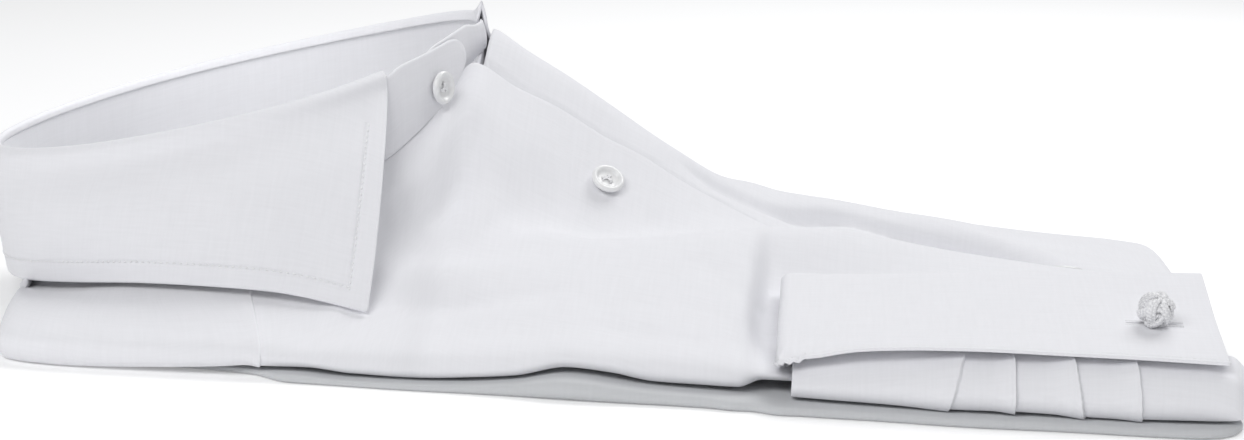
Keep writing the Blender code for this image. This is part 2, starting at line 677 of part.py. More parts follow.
def make_sleeve():
    """The sleeve's end, gathered into the cuff, coming from behind round the near edge."""
    columns = table(SLEEVE)
    names = list(columns)
    stack = np.stack(list(columns.values()), axis=1)
    lines = np.interp(
        np.unique(np.concatenate([np.linspace(46, 182, 14)]
                                 + [[x - 0.4 * w, x, x + 0.6] for x, h, w in PLEATS])),
        columns["x"],
        np.arange(len(stack)),
    )
    grid = []
    for values in hermite(stack, lines):
        v = dict(zip(names, values))
        points = [
            (v["x"], v["yt"], v["zt"]),
            (v["x"], v["ys"] * 0.6 + v["yt"] * 0.4, v["zs"] * 0.5 + v["zt"] * 0.5),
            (v["x"], v["ys"], v["zs"]),
            (v["x"], v["yo"], v["zo"]),
            (v["x"], v["yo"] + 1.6, v["zb"] + 0.9),
            (v["x"], v["yo"] + 5.5, v["zb"]),
            (v["x"], v["yb"], v["zb"]),
        ]
        grid.append(section(points, 10))
    grid = np.stack(grid)
    back = moved(grid, SLEEVE_WALL)
    share = np.linspace(0, 1, grid.shape[1])
    strength = np.clip((share - 0.18) / 0.2, 0, 1) * np.clip((0.74 - share) / 0.25, 0, 1)
    height = np.zeros(grid.shape[:2])
    for x, rise, width in PLEATS:
        lean = x + 7 * share[None, :]
        along = grid[:, :, 0] - lean
        height += rise * np.where(along < 0, np.clip(1 + along / width, 0, 1) ** 1.5, 0)
    face = grid - normals(grid) * (height * strength[None, :])[..., None] * 0.8
    return solid_sheet("sleeve_right", face[::-1], back[::-1])


# ---------------------------------------------------------------- buttons and link
def turned(name, profile, centre, up, colour, segments=18, rough=0.3):
    """A round piece from (radius, height) points, its first and last on the axis."""
    helper = np.array([1.0, 0.0, 0.0])
    y = np.cross(up, helper)
    y = y / np.linalg.norm(y)
    x = np.cross(y, up)
    points = [centre + up * profile[0][1]]
    for radius, height in profile[1:-1]:
        for i in range(segments):
            a = 2 * math.pi * i / segments
            points.append(centre + up * height + (x * math.cos(a) + y * math.sin(a)) * radius)
    points.append(centre + up * profile[-1][1])
    faces = []
    rings = len(profile) - 2
    for i in range(segments):
        j = (i + 1) % segments
        faces.append((0, 1 + j, 1 + i))
        for k in range(rings - 1):
            a, b = 1 + k * segments + i, 1 + k * segments + j
            faces.append((a, b, b + segments, a + segments))
        top = 1 + (rings - 1) * segments
        faces.append((top + i, top + j, len(points) - 1))
    return new_mesh(name, points, faces, colour, rough)


def button_profile():
    r = BUTTON_D / 2
    low = BUTTON_T - BUTTON_RIM
    return [
        (0, 0), (r - 1.6, 0.0), (r - 0.35, 0.7), (r, BUTTON_T * 0.62),
        (r - 0.4, BUTTON_T - 0.12), (r - 1.0, BUTTON_T), (r - 1.6, BUTTON_T - 0.2),
        (r - 2.1, low + 0.2), (r - 2.6, low), (0, low),
    ]


def on_near_front(x, y):
    """Surface point and normal of the near front nearest above a place in plan."""
    grid = near_sections(60, 60)
    up = -normals(grid)
    miss = np.hypot(grid[..., 0] - x, grid[..., 1] - y)
    miss[:, 40:] += 1000
    i, j = np.unravel_index(np.argmin(miss), miss.shape)
    return grid[i, j], up[i, j]


def make_buttons():
    k = 19.75
    columns = table(COLLAR)
    drop = float(hermite(columns["drop"], [k])[0])
    flare = float(hermite(columns["flare"], [k])[0])
    out = STAND_OUT + STAND_BOW
    high = ring([k], flare * 0.3 + out, drop * 0.3)[0]
    low = ring([k], flare * 0.8 + out, drop * 0.8)[0]
    side = ring([k + 0.4], 0, 0)[0] - ring([k - 0.4], 0, 0)[0]
    up = np.cross(side, high - low)
    up = up / np.linalg.norm(up)
    middle = high * 0.3 + low * 0.7
    turned("collar_button", button_profile(), middle + up * BUTTON_LIFT * 2.4, up, PEARL)
    for n, (x, y) in enumerate(BUTTONS_AT, 1):
        point, up = on_near_front(x, y)
        turned(f"front_button_{n}", button_profile(), point + up * BUTTON_LIFT, up, PEARL)


def make_knot():
    """A cord knot link: a knot each side of the cuff on a short stem through the buttonholes."""
    centre = cuff_point(KNOT_AT[0], 0.54)
    up = cuff_up(KNOT_AT[0], 0.54)
    r = KNOT_D / 2
    base = CUFF_HALF + 0.6
    stem = STEM_W / 2
    profile = [(0, -base - 3.6), (r * 0.55, -base - 3.4), (r * 0.8, -base - 2.2), (r * 0.72, -base - 0.7),
               (r * 0.4, -base), (stem, -base + 0.2), (stem, base - 0.2), (r * 0.5, base)]
    for angle in (-42, -22, 0, 20, 40, 60, 78):
        a = math.radians(angle)
        profile.append((r * math.cos(a), base + r * 0.78 + r * math.sin(a)))
    profile.append((0, base + r * 1.78))
    return turned("cuff_knot", profile, centre, up, WHITE, 24, 0.7)


def centre_all():
    """Puts the middle of the whole on the origin, its lowest point at height 0."""
    low = np.full(3, 1e9)
    high = -low
    for obj in SHIRT.objects:
        points = np.array([vertex.co for vertex in obj.data.vertices])
        low = np.minimum(low, points.min(axis=0))
        high = np.maximum(high, points.max(axis=0))
    shift = np.array([(low[0] + high[0]) / 2, (low[1] + high[1]) / 2, low[2]])
    for obj in list(SHIRT.objects) + list(CUTTERS.objects):
        for vertex in obj.data.vertices:
            vertex.co = np.array(vertex.co) - shift


for old in list(bpy.data.objects):
    bpy.data.objects.remove(old)
SHIRT = bpy.data.collections.new("dress_shirt_folded")
CUTTERS = bpy.data.collections.new("cutters")
bpy.context.scene.collection.children.link(SHIRT)
bpy.context.scene.collection.children.link(CUTTERS)

make_layers()
make_yoke()
make_fronts()
make_stand()
make_leaf()
make_sleeve()
make_cuff()
make_buttons()
make_knot()
centre_all()
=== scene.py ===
"""Long sleeve dress shirt of white cotton poplin, folded and lying on its back.

Sizes are in millimetres. X runs from the collar to the folded hem, Y across the shirt
from the side with the turned-back cuff, Z up from the surface that it lies on.
"""

import math

import bpy
import numpy as np
from mathutils import Matrix, Vector


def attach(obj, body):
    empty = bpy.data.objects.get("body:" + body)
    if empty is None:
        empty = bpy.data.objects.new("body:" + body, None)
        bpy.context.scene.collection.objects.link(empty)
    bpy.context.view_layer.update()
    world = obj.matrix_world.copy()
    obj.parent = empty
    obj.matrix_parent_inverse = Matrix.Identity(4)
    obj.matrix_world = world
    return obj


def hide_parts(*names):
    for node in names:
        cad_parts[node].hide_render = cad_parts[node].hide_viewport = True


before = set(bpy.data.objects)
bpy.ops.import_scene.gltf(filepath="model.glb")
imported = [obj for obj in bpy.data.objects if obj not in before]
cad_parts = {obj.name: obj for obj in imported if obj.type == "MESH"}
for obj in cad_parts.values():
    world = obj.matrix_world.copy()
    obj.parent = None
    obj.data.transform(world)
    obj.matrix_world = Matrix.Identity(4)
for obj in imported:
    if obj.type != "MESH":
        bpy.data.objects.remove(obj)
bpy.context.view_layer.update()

MM = 0.001

# ---------------------------------------------------------------- table, lights and camera
# A pale table top that gives off a little light of its own. A large soft window behind and
# above, a weaker one on the camera's side and a small light inside the collar. The lens is
# long and looks from just above the level of the collar.
def in_scene(name, data):
    """A new object of this data, in the scene."""
    thing = bpy.data.objects.new(name, data)
    bpy.context.scene.collection.objects.link(thing)
    return thing


def new_paint(name, looks):
    """A new material, its node tree and its shader, with the looks set on the shader."""
    paint = bpy.data.materials.new(name)
    paint.use_nodes = True
    shader = paint.node_tree.nodes["Principled BSDF"]
    for label, value in looks.items():
        shader.inputs[label].default_value = value
    return paint, paint.node_tree, shader


TABLE_LOOKS = {
    "Base Color": (0.95, 0.95, 0.95, 1), "Roughness": 0.9, "Specular IOR Level": 0.2,
    "Emission Color": (1.0, 1.0, 1.0, 1), "Emission Strength": 0.14,
}
table_top = bpy.data.meshes.new("table_top")
table_top.from_pydata([(-6, -4, 0), (6, -4, 0), (6, 9, 0), (-6, 9, 0)], [], [(0, 1, 2, 3)])
table_top.materials.append(new_paint("pale_table_top", TABLE_LOOKS)[0])
table_object = in_scene("table_top", table_top)

sky = bpy.data.worlds.new("studio")
sky.use_nodes = True
sky.node_tree.nodes["Background"].inputs["Color"].default_value = (0.97, 0.98, 1.0, 1)
sky.node_tree.nodes["Background"].inputs["Strength"].default_value = 0.37
bpy.context.scene.world = sky


def window(name, place, target, width, height, watts):
    """A rectangular area light at a place, facing its target."""
    light = bpy.data.lights.new(name, "AREA")
    light.shape = "RECTANGLE"
    light.size = width
    light.size_y = height
    light.energy = watts
    lamp = in_scene(name, light)
    lamp.location = place
    lamp.rotation_euler = (Vector(target) - Vector(place)).to_track_quat("-Z", "Y").to_euler()
    return lamp


window("window_behind", (0.55, 0.75, 1.25), (0, 0, 0.03), 1.1, 0.8, 13.0)
window("window_camera_side", (-0.5, -1.1, 1.1), (0, 0, 0.04), 1.0, 0.7, 10.3)
inside = window("window_in_collar", (-0.13, -0.004, 0.087), (-0.13, 0.05, 0.055), 0.11, 0.04, 0.024)
inside.visible_camera = False

lens = bpy.data.cameras.new("camera")
lens.lens = 72.64
lens.sensor_width = 36.0
camera = in_scene("camera", lens)
camera.location = (0.0708, -0.8480, 0.1996)
turn = Matrix.Rotation(math.radians(4), 3, "Z") @ Matrix.Rotation(math.radians(79), 3, "X")
camera.rotation_euler = (turn @ Matrix.Rotation(math.radians(2), 3, "Z")).to_euler()
bpy.context.scene.camera = camera
bpy.context.scene.view_settings.view_transform = "Standard"

# ---------------------------------------------------------------- collar stand
# The band of interlined cotton round the neck. Its ends are rounded and lap at the front,
# where a button holds them, and its top and ends are edge-stitched.

# Middle of the drawing that the tables below are written on.
DRAWN_ABOUT = np.array([-26.79, -3.82, 0.0])

# Tilt of the collar's roll line: height at the nape, rise toward the front, rise across.
ROLL_Z = 54.7
ROLL_X0 = -232.0
ROLL_RISE = 0.256
ROLL_CROSS = 0.114

# Collar ring, from the covered end of the stand round the nape to the end on top.
# x, y: roll line. drop: stand height. flare: how far the neckline lies outside the roll.
# ex, ey, ez: free edge of the leaf on the same radial line.
COLLAR = """
 x     y    drop  flare  ex    ey   ez
 -86  -13   24    1.0   -60    92   30
 -80    4   20    1.5   -60    92   30
 -75   21   15    2.0   -60    92   30
 -71   35   12    2.0   -60    92   31
 -83   48   19    3.0   -82    93   33
-109   54   28    3.5  -114    91   33
-140   56   34    3.5  -146    87   30
-170   54   37    3.5  -178    78   26
-197   46   38    3.0  -206    62   20
-218   32   39   -1.0  -222    38   14
-230   17   40   -5.0  -229    19   10
-235    0   40   -8.0  -231     0    9
-230  -18   40   -5.0  -226   -22   10
-214  -35   38   -1.0  -213   -46   13
-190  -48   38    3.0  -192   -64   17
-160  -54   36    3.5  -163   -77   21
-131  -52   34    3.5  -132   -82   22
-111  -44   32    3.0  -113   -83   21
 -96  -30   30    2.0   -90   -84   17
 -88  -17   26    1.5   -90   -84   17
 -81   -3   21    1.5   -90   -84   17
 -76   12   15    1.5   -90   -84   17
"""
LEAF_FIRST = 3
LEAF_LAST = 18
STAND_LEAD = 1.9
STAND_OUT = -0.9
STAND_BOW = 0.5


def table(text):
    """The columns of a table by name."""
    lines = [line.split() for line in text.strip().splitlines()]
    rows = np.array([[float(value) for value in line] for line in lines[1:]])
    return {name: rows[:, i] for i, name in enumerate(lines[0])}


RING = table(COLLAR)
RING_PLAN = np.stack([RING["x"], RING["y"]], axis=1)
RING_END = len(RING_PLAN) - 1.001


def eased(t, a, b, slope_a, slope_b):
    """The cubic from a to b with these slopes at its ends."""
    out = (2 * t**3 - 3 * t**2 + 1) * a + (t**3 - 2 * t**2 + t) * slope_a
    return out + (3 * t**2 - 2 * t**3) * b + (t**3 - t**2) * slope_b


def hermite(values, at):
    """Values of a row-per-station array at fractional rows, smooth and without overshoot."""
    values = np.asarray(values, float)
    flat = values.reshape(len(values), -1)
    step = np.diff(flat, axis=0)
    slope = np.zeros_like(flat)
    slope[0], slope[-1] = step[0], step[-1]
    same = step[:-1] * step[1:] > 0
    total = np.where(same, step[:-1] + step[1:], 1.0)
    slope[1:-1] = np.where(same, 2 * step[:-1] * step[1:] / total, 0.0)
    at = np.clip(np.atleast_1d(np.asarray(at, float)), 0, len(flat) - 1)
    row = np.minimum(at.astype(int), len(flat) - 2)
    out = eased((at - row)[:, None], flat[row], flat[row + 1], slope[row], slope[row + 1])
    return out.reshape((len(at),) + values.shape[1:])


def named_rows(text, at, tops=None):
    """A table's rows at fractional places, or at this many even ones, as named values.

    tops, where given, takes the place of the first three columns of the first rows.
    """
    columns = table(text)
    stack = np.stack(list(columns.values()), axis=1)
    if tops is not None:
        stack[: len(tops), :3] = tops
    if isinstance(at, int):
        at = np.linspace(0, len(stack) - 1, at)
    return [dict(zip(columns, values)) for values in hermite(stack, at)]


def flowing(points, at):
    """A Catmull-Rom curve through the points, at fractional indices."""
    points = np.asarray(points, float)
    slope = np.gradient(points, axis=0)
    row = np.minimum(np.asarray(at, float).astype(int), len(points) - 2)
    t = (np.asarray(at, float) - row)[:, None]
    return eased(t, points[row], points[row + 1], slope[row], slope[row + 1])


def section(points, count, crowd=None):
    """A smooth curve through control points, cut at equal or chosen shares of its length."""
    points = np.asarray(points, float)
    chord = np.linalg.norm(np.diff(points, axis=0), axis=1)
    place = np.concatenate([[0], np.cumsum(np.sqrt(chord + 1e-9))])
    slope = np.gradient(points, place, axis=0)
    fine = np.linspace(0, place[-1], 400)
    row = np.clip(np.searchsorted(place, fine, side="right") - 1, 0, len(points) - 2)
    width = np.diff(place)[row][:, None]
    t = (fine - place[row])[:, None] / width
    curve = eased(t, points[row], points[row + 1], slope[row] * width, slope[row + 1] * width)
    length = np.concatenate([[0], np.cumsum(np.linalg.norm(np.diff(curve, axis=0), axis=1))])
    want = (np.linspace(0, 1, count) if crowd is None else np.asarray(crowd)) * length[-1]
    return np.stack([np.interp(want, length, curve[:, i]) for i in range(3)], axis=1)


def normals(grid):
    """Unit normals of a grid of points, along rows crossed with along columns."""
    normal = np.cross(np.gradient(grid, axis=0), np.gradient(grid, axis=1))
    return normal / np.maximum(np.linalg.norm(normal, axis=2, keepdims=True), 1e-9)


def lengths(grid, axis):
    """Length of cloth from the first row or column to each point of a grid."""
    step = np.linalg.norm(np.diff(grid, axis=axis), axis=2)
    return np.insert(np.cumsum(step, axis=axis), 0, 0, axis=axis)


def ring_out(k):
    """Outward direction in plan at place k of the collar ring."""
    k = np.clip(np.asarray(k, float), 0, len(RING_PLAN) - 1)
    ahead = flowing(RING_PLAN, np.clip(k + 0.05, 0, RING_END))
    behind = flowing(RING_PLAN, np.clip(k - 0.05, 0, RING_END))
    step = ahead - behind
    out = np.stack([step[:, 1], -step[:, 0]], axis=1)
    return out / np.linalg.norm(out, axis=1, keepdims=True)


def ring(k, out=0.0, down=0.0):
    """Points of the collar ring: moved outward, and down from the roll line."""
    k = np.atleast_1d(np.asarray(k, float))
    lapped = STAND_LEAD * np.clip((k - 16.5) / 2.5, 0, 1) ** 2
    flat = flowing(RING_PLAN, np.clip(k, 0, RING_END))
    flat = flat + ring_out(k) * (np.asarray(out) + lapped)[:, None]
    height = ROLL_Z + ROLL_RISE * (flat[:, 0] - ROLL_X0) + ROLL_CROSS * flat[:, 1] - down
    return np.concatenate([flat, height[:, None]], axis=1)


def neckline(k, inset=1.1):
    """The seam of stand and body."""
    k = np.atleast_1d(np.asarray(k, float))
    return ring(k, hermite(RING["flare"], k) + inset, hermite(RING["drop"], k))


def rim_of(rows, cols):
    """Grid places round the edge of a grid, in order."""
    loop = [(i, 0) for i in range(rows)] + [(rows - 1, j) for j in range(1, cols)]
    loop += [(i, cols - 1) for i in range(rows - 2, -1, -1)]
    return loop + [(0, j) for j in range(cols - 2, 0, -1)]


def mesh_piece(name, points, faces, paint, uv, uv_name="cloth"):
    """A smooth painted mesh from points in the frame's millimetres, with a UV pair for each."""
    mesh = bpy.data.meshes.new(name)
    mesh.from_pydata((np.asarray(points) * MM).tolist(), [], faces)
    mesh.update()
    mesh.shade_smooth()
    corner = np.empty(len(mesh.loops), int)
    mesh.loops.foreach_get("vertex_index", corner)
    uv_map = mesh.uv_layers.new(name=uv_name)
    uv_map.data.foreach_set("uv", np.asarray(uv)[corner].ravel())
    mesh.materials.append(paint)
    return in_scene(name, mesh)


CLOTH_WALL = 1.2
NO_SEAM = 30.0
INSIDE_OFF = 50
EDGE_ANGLES = (54, 18, -18, -54)


def shell(name, face, paint, seam=None):
    """A thin closed shell of cloth with a rounded edge: the face shows, the back lies inside.

    seam is the distance from each point to the nearest stitch line, which the cloth's
    material reads for its furrow and for the painted shade in it. The UV map is the length
    of cloth along and across the piece in metres.
    """
    rows, cols = face.shape[:2]
    out = normals(face)
    back = face - out * CLOTH_WALL
    loop = rim_of(rows, cols)
    i, j = np.array(loop).T
    inner_i = np.clip(i, 1, rows - 2)
    inner_j = np.clip(j, 1, cols - 2)
    n = out[i, j]
    side = np.zeros_like(n)
    for step_i, step_j in ((inner_i, j), (i, inner_j)):
        step = face[i, j] - face[step_i, step_j]
        size = np.linalg.norm(step, axis=1, keepdims=True)
        side += step / np.maximum(size, 1e-9)
    side -= n * np.sum(side * n, axis=1, keepdims=True)
    side /= np.maximum(np.linalg.norm(side, axis=1, keepdims=True), 1e-9)
    middle = (face[i, j] + back[i, j]) / 2
    bands = []
    for angle in EDGE_ANGLES:
        a = math.radians(angle)
        bands.append(middle + (n * math.sin(a) + side * math.cos(a)) * CLOTH_WALL / 2)
    points = np.concatenate([face.reshape(-1, 3), back.reshape(-1, 3)] + bands)
    low = rows * cols
    a = (np.arange(rows - 1)[:, None] * cols + np.arange(cols - 1)).reshape(-1)
    faces = np.concatenate([
        np.stack([a, a + cols, a + cols + 1, a + 1], axis=1),
        np.stack([a, a + 1, a + cols + 1, a + cols], axis=1) + low,
    ])
    at = i * cols + j
    count = len(loop)
    turns = len(bands)
    rings = [at] + [2 * low + band * count + np.arange(count) for band in range(turns)] + [at + low]
    for upper, lower in zip(rings, rings[1:]):
        after = np.roll(upper, -1)
        below = np.roll(lower, -1)
        faces = np.concatenate([faces, np.stack([after, upper, lower, below], axis=1)])
    along, across = lengths(face, 0), lengths(face, 1)
    along = np.median(along, axis=1)[:, None] + along * 0
    uv = np.stack([across, along], axis=2).reshape(-1, 2) * MM
    uv = np.concatenate([uv, uv] + [uv[at]] * turns)
    piece = mesh_piece(name, points - DRAWN_ABOUT, faces.tolist(), paint, uv)
    if seam is not None:
        near = np.asarray(seam, float).reshape(-1)
        near = np.concatenate([near, near + INSIDE_OFF] + [near[at]] * turns)
        read = piece.data.attributes.new("seam", "FLOAT", "POINT")
        read.data.foreach_set("value", near)
    return piece


def group_of(name, inputs, outputs):
    """A new shader node group with its named sockets and its input and output nodes."""
    group = bpy.data.node_groups.new(name, "ShaderNodeTree")
    for label, kind, default in inputs:
        socket = group.interface.new_socket(label, in_out="INPUT", socket_type=kind)
        if default is not None:
            socket.default_value = default
    for label, kind in outputs:
        group.interface.new_socket(label, in_out="OUTPUT", socket_type=kind)
    return group, group.nodes.new("NodeGroupInput"), group.nodes.new("NodeGroupOutput")


def add_node(tree, kind, inputs=None, **settings):
    """A new node: its settings are set, then each input takes a value or a link."""
    node = tree.nodes.new(kind)
    for label, value in settings.items():
        setattr(node, label, value)
    for label, value in (inputs or {}).items():
        if isinstance(value, bpy.types.NodeSocket):
            tree.links.new(value, node.inputs[label])
        else:
            node.inputs[label].default_value = value
    return node


def sums(tree, operation, *values):
    """A Math node on sockets or numbers; gives its output socket."""
    return add_node(tree, "ShaderNodeMath", dict(enumerate(values)), operation=operation).outputs[0]


def bumped(tree, height, strength, distance, under=None, invert=False):
    """A Bump node, laid over an earlier one where given; gives its normal."""
    inputs = {"Strength": strength, "Distance": distance, "Height": height}
    if under is not None:
        inputs["Normal"] = under
    return add_node(tree, "ShaderNodeBump", inputs, invert=invert).outputs[0]


def two_tones(tree, shader, dark, light, share):
    """Mixes two colours by a socket into the shader's base colour."""
    inputs = {"A": (*dark, 1), "B": (*light, 1), "Factor": share}
    tone = add_node(tree, "ShaderNodeMix", inputs, data_type="RGBA")
    tree.links.new(tone.outputs["Result"], shader.inputs["Base Color"])


YARN_PITCH = 0.00036
SLUB = 0.5


def make_weave_group():
    """Plain weave of fine two-ply yarn, with the slight slubs that cotton has."""
    group, given, result = group_of(
        "plain_weave",
        [("Cloth", "NodeSocketVector", None), ("Pitch", "NodeSocketFloat", YARN_PITCH),
         ("Slub", "NodeSocketFloat", SLUB)],
        [("Height", "NodeSocketFloat"), ("Shade", "NodeSocketFloat")],
    )
    place = add_node(group, "ShaderNodeSeparateXYZ", {0: given.outputs["Cloth"]})
    wave = []
    for axis in range(2):
        turns = sums(group, "DIVIDE", place.outputs[axis], given.outputs["Pitch"])
        wave.append(sums(group, "SINE", sums(group, "MULTIPLY", turns, math.pi)))
    side = sums(group, "MULTIPLY", wave[0], wave[1])
    warp = sums(group, "ABSOLUTE", wave[0])
    weft = sums(group, "ABSOLUTE", wave[1])
    over = sums(group, "GREATER_THAN", side, 0.0)
    warp_on_top = sums(group, "MULTIPLY", warp, over)
    weft_on_top = sums(group, "MULTIPLY", weft, sums(group, "SUBTRACT", 1.0, over))
    yarn = sums(group, "ADD", warp_on_top, weft_on_top)
    streaks = []
    for stretch in ((60.0, 900.0, 1.0), (1100.0, 70.0, 1.0)):
        scaled = {"Scale": stretch, "Vector": given.outputs["Cloth"]}
        turned = add_node(group, "ShaderNodeMapping", scaled)
        looks = {"Scale": 1.0, "Detail": 3.0, "Vector": turned.outputs[0]}
        slub = add_node(group, "ShaderNodeTexNoise", looks)
        streaks.append(slub.outputs["Fac"])
    slubs = sums(group, "SUBTRACT", sums(group, "ADD", streaks[0], streaks[1]), 1.0)
    slubs = sums(group, "MULTIPLY", slubs, given.outputs["Slub"])
    group.links.new(sums(group, "ADD", yarn, slubs), result.inputs["Height"])
    group.links.new(slubs, result.inputs["Shade"])
    return group


def make_seam_group():
    """The furrow that a row of stitches pulls into the cloth, as a bell across the stitch line."""
    group, given, result = group_of(
        "stitch_furrow",
        [("Distance", "NodeSocketFloat", 10.0), ("Width", "NodeSocketFloat", 0.55)],
        [("Furrow", "NodeSocketFloat")],
    )
    share = sums(group, "DIVIDE", given.outputs["Distance"], given.outputs["Width"])
    square = sums(group, "MULTIPLY", share, share)
    bell = sums(group, "POWER", math.e, sums(group, "MULTIPLY", square, -1.0))
    group.links.new(bell, result.inputs["Furrow"])
    return group


WEAVE = make_weave_group()
FURROW = make_seam_group()


def poplin(name, colour, crease=0.35, seams=True):
    """White cotton poplin: weave, soft unevenness, and furrows at the stitching with painted shade in
    them.
    """
    looks = {"Roughness": 0.82, "Specular IOR Level": 0.35, "Sheen Weight": 0.12,
             "Sheen Roughness": 0.45}
    paint, tree, shader = new_paint(name, looks)
    cloth = add_node(tree, "ShaderNodeUVMap", uv_map="cloth")
    inputs = {"Pitch": YARN_PITCH, "Slub": SLUB, "Cloth": cloth.outputs[0]}
    weave = add_node(tree, "ShaderNodeGroup", inputs, node_tree=WEAVE)
    place = add_node(tree, "ShaderNodeTexCoord")
    inputs = {"Scale": 55.0, "Detail": 2.5, "Vector": place.outputs["Object"]}
    soft = add_node(tree, "ShaderNodeTexNoise", inputs)
    amount = sums(tree, "MULTIPLY_ADD", weave.outputs["Shade"], 2.6, 0.62)
    last = bumped(tree, weave.outputs["Height"], 0.5, 0.00008)
    last = bumped(tree, soft.outputs["Fac"], crease, 0.0009, last)
    if seams:
        seam = add_node(tree, "ShaderNodeAttribute", attribute_name="seam")
        inputs = {"Width": 0.6, "Distance": seam.outputs["Fac"]}
        furrow = add_node(tree, "ShaderNodeGroup", inputs, node_tree=FURROW).outputs["Furrow"]
        last = bumped(tree, furrow, 0.7, 0.0003, last, invert=True)
        # Painted shade: the colour darkens along the stitch furrows.
        amount = sums(tree, "ADD", amount, sums(tree, "MULTIPLY", furrow, -0.5))
    two_tones(tree, shader, [value * 0.955 for value in colour], colour, amount)
    tree.links.new(last, shader.inputs["Normal"])
    return paint


WHITE = (0.875, 0.875, 0.905)
POPLIN = poplin("white_poplin", WHITE)
POPLIN_PLAIN = poplin("white_poplin_unstitched", WHITE, seams=False)


def make_thread_paint():
    """White sewing thread, mottled by its twist."""
    paint, tree, shader = new_paint("white_sewing_thread", {"Roughness": 0.5, "Sheen Weight": 0.2})
    place = add_node(tree, "ShaderNodeTexCoord")
    inputs = {"Scale": 4000.0, "Vector": place.outputs["Object"]}
    twist = add_node(tree, "ShaderNodeTexNoise", inputs)
    two_tones(tree, shader, (0.80, 0.80, 0.82), (0.90, 0.90, 0.91), twist.outputs["Fac"])
    return paint


THREAD = make_thread_paint()


def make_stitch_tree():
    """Lockstitches along drawn lines: a small rounded bar of thread at every step."""
    tree = bpy.data.node_groups.new("lockstitch_rows", "GeometryNodeTree")
    sockets = (("Geometry", "NodeSocketGeometry"), ("Spacing", "NodeSocketFloat"),
               ("Stitch Length", "NodeSocketFloat"), ("Thread Radius", "NodeSocketFloat"),
               ("Thread", "NodeSocketMaterial"))
    for label, kind in sockets:
        tree.interface.new_socket(label, in_out="INPUT", socket_type=kind)
    tree.interface.new_socket("Geometry", in_out="OUTPUT", socket_type="NodeSocketGeometry")
    given = add_node(tree, "NodeGroupInput").outputs
    line = add_node(tree, "GeometryNodeMeshToCurve", {"Mesh": given["Geometry"]})
    inputs = {"Curve": line.outputs["Curve"], "Length": given["Spacing"]}
    steps = add_node(tree, "GeometryNodeResampleCurve", inputs, mode="LENGTH")
    bar = add_node(tree, "GeometryNodeMeshUVSphere", {"Segments": 8, "Rings": 4, "Radius": 1.0})
    half = sums(tree, "MULTIPLY", given["Stitch Length"], 0.5)
    inputs = {"X": half, "Y": given["Thread Radius"], "Z": given["Thread Radius"]}
    size = add_node(tree, "ShaderNodeCombineXYZ", inputs)
    tangent = add_node(tree, "GeometryNodeInputTangent")
    up = add_node(tree, "GeometryNodeInputNamedAttribute", data_type="FLOAT_VECTOR")
    up.inputs["Name"].default_value = "up"
    align = "FunctionNodeAlignRotationToVector"
    along = add_node(tree, align, {"Vector": tangent.outputs[0]}, axis="X")
    inputs = {"Rotation": along.outputs[0], "Vector": up.outputs["Attribute"]}
    upright = add_node(tree, align, inputs, axis="Z", pivot_axis="X")
    inputs = {"Points": steps.outputs["Curve"], "Instance": bar.outputs["Mesh"],
              "Rotation": upright.outputs[0], "Scale": size.outputs[0]}
    copies = add_node(tree, "GeometryNodeInstanceOnPoints", inputs)
    real = add_node(tree, "GeometryNodeRealizeInstances", {0: copies.outputs[0]})
    inputs = {"Geometry": real.outputs[0], "Material": given["Thread"]}
    finish = add_node(tree, "GeometryNodeSetMaterial", inputs)
    add_node(tree, "NodeGroupOutput", {0: finish.outputs[0]})
    return tree


def made_mesh(thing):
    """The mesh that an object's modifiers give."""
    bpy.context.view_layer.update()
    graph = bpy.context.evaluated_depsgraph_get()
    return bpy.data.meshes.new_from_object(thing.evaluated_get(graph))


STITCH_TREE = make_stitch_tree()


def stitched(name, rows, spacing=2.2, length=1.25, radius=0.27):
    """Stitches along rows of (points, normals), as one plain mesh riding on the shirt."""
    points, ups, edges = [], [], []
    for line, up in rows:
        start = len(points)
        points += list((np.asarray(line) - DRAWN_ABOUT) * MM)
        ups += list(np.asarray(up))
        edges += [(start + i, start + i + 1) for i in range(len(line) - 1)]
    drawn = bpy.data.meshes.new(name + "_line")
    drawn.from_pydata([tuple(point) for point in points], edges, [])
    lean = drawn.attributes.new("up", "FLOAT_VECTOR", "POINT")
    lean.data.foreach_set("vector", np.asarray(ups, float).ravel())
    guide = in_scene(name + "_line", drawn)
    maker = guide.modifiers.new("stitches", "NODES")
    maker.node_group = STITCH_TREE
    given = {"Spacing": spacing * MM, "Stitch Length": length * MM,
             "Thread Radius": radius * MM, "Thread": THREAD}
    for item in STITCH_TREE.interface.items_tree:
        if item.in_out == "INPUT" and item.name in given:
            maker[item.identifier] = given[item.name]
    mesh = made_mesh(guide)
    mesh.name = name
    mesh.shade_smooth()
    bpy.data.objects.remove(guide)
    piece = in_scene(name, mesh)
    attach(piece, "root")
    return piece


def grid_line(grid, out, rows, cols, lift):
    """Points and normals along fractional places of a grid, lifted off the cloth."""
    i, j = np.asarray(rows, float), np.asarray(cols, float)
    a = np.minimum(i.astype(int), grid.shape[0] - 2)
    b = np.minimum(j.astype(int), grid.shape[1] - 2)
    s, t = (i - a)[:, None], (j - b)[:, None]
    both = []
    for field in (grid, out):
        near = field[a, b] * (1 - s) + field[a + 1, b] * s
        far = field[a, b + 1] * (1 - s) + field[a + 1, b + 1] * s
        both.append(near * (1 - t) + far * t)
    return both[0] + both[1] * lift, both[1]


def distance_to(grid, line):
    """Distance from each grid point to the nearest of a closely spaced line of points."""
    flat = grid.reshape(-1, 3)
    best = np.full(len(flat), 1e9)
    for point in np.asarray(line):
        best = np.minimum(best, np.sum((flat - point) ** 2, axis=1))
    return np.sqrt(best).reshape(grid.shape[:2])


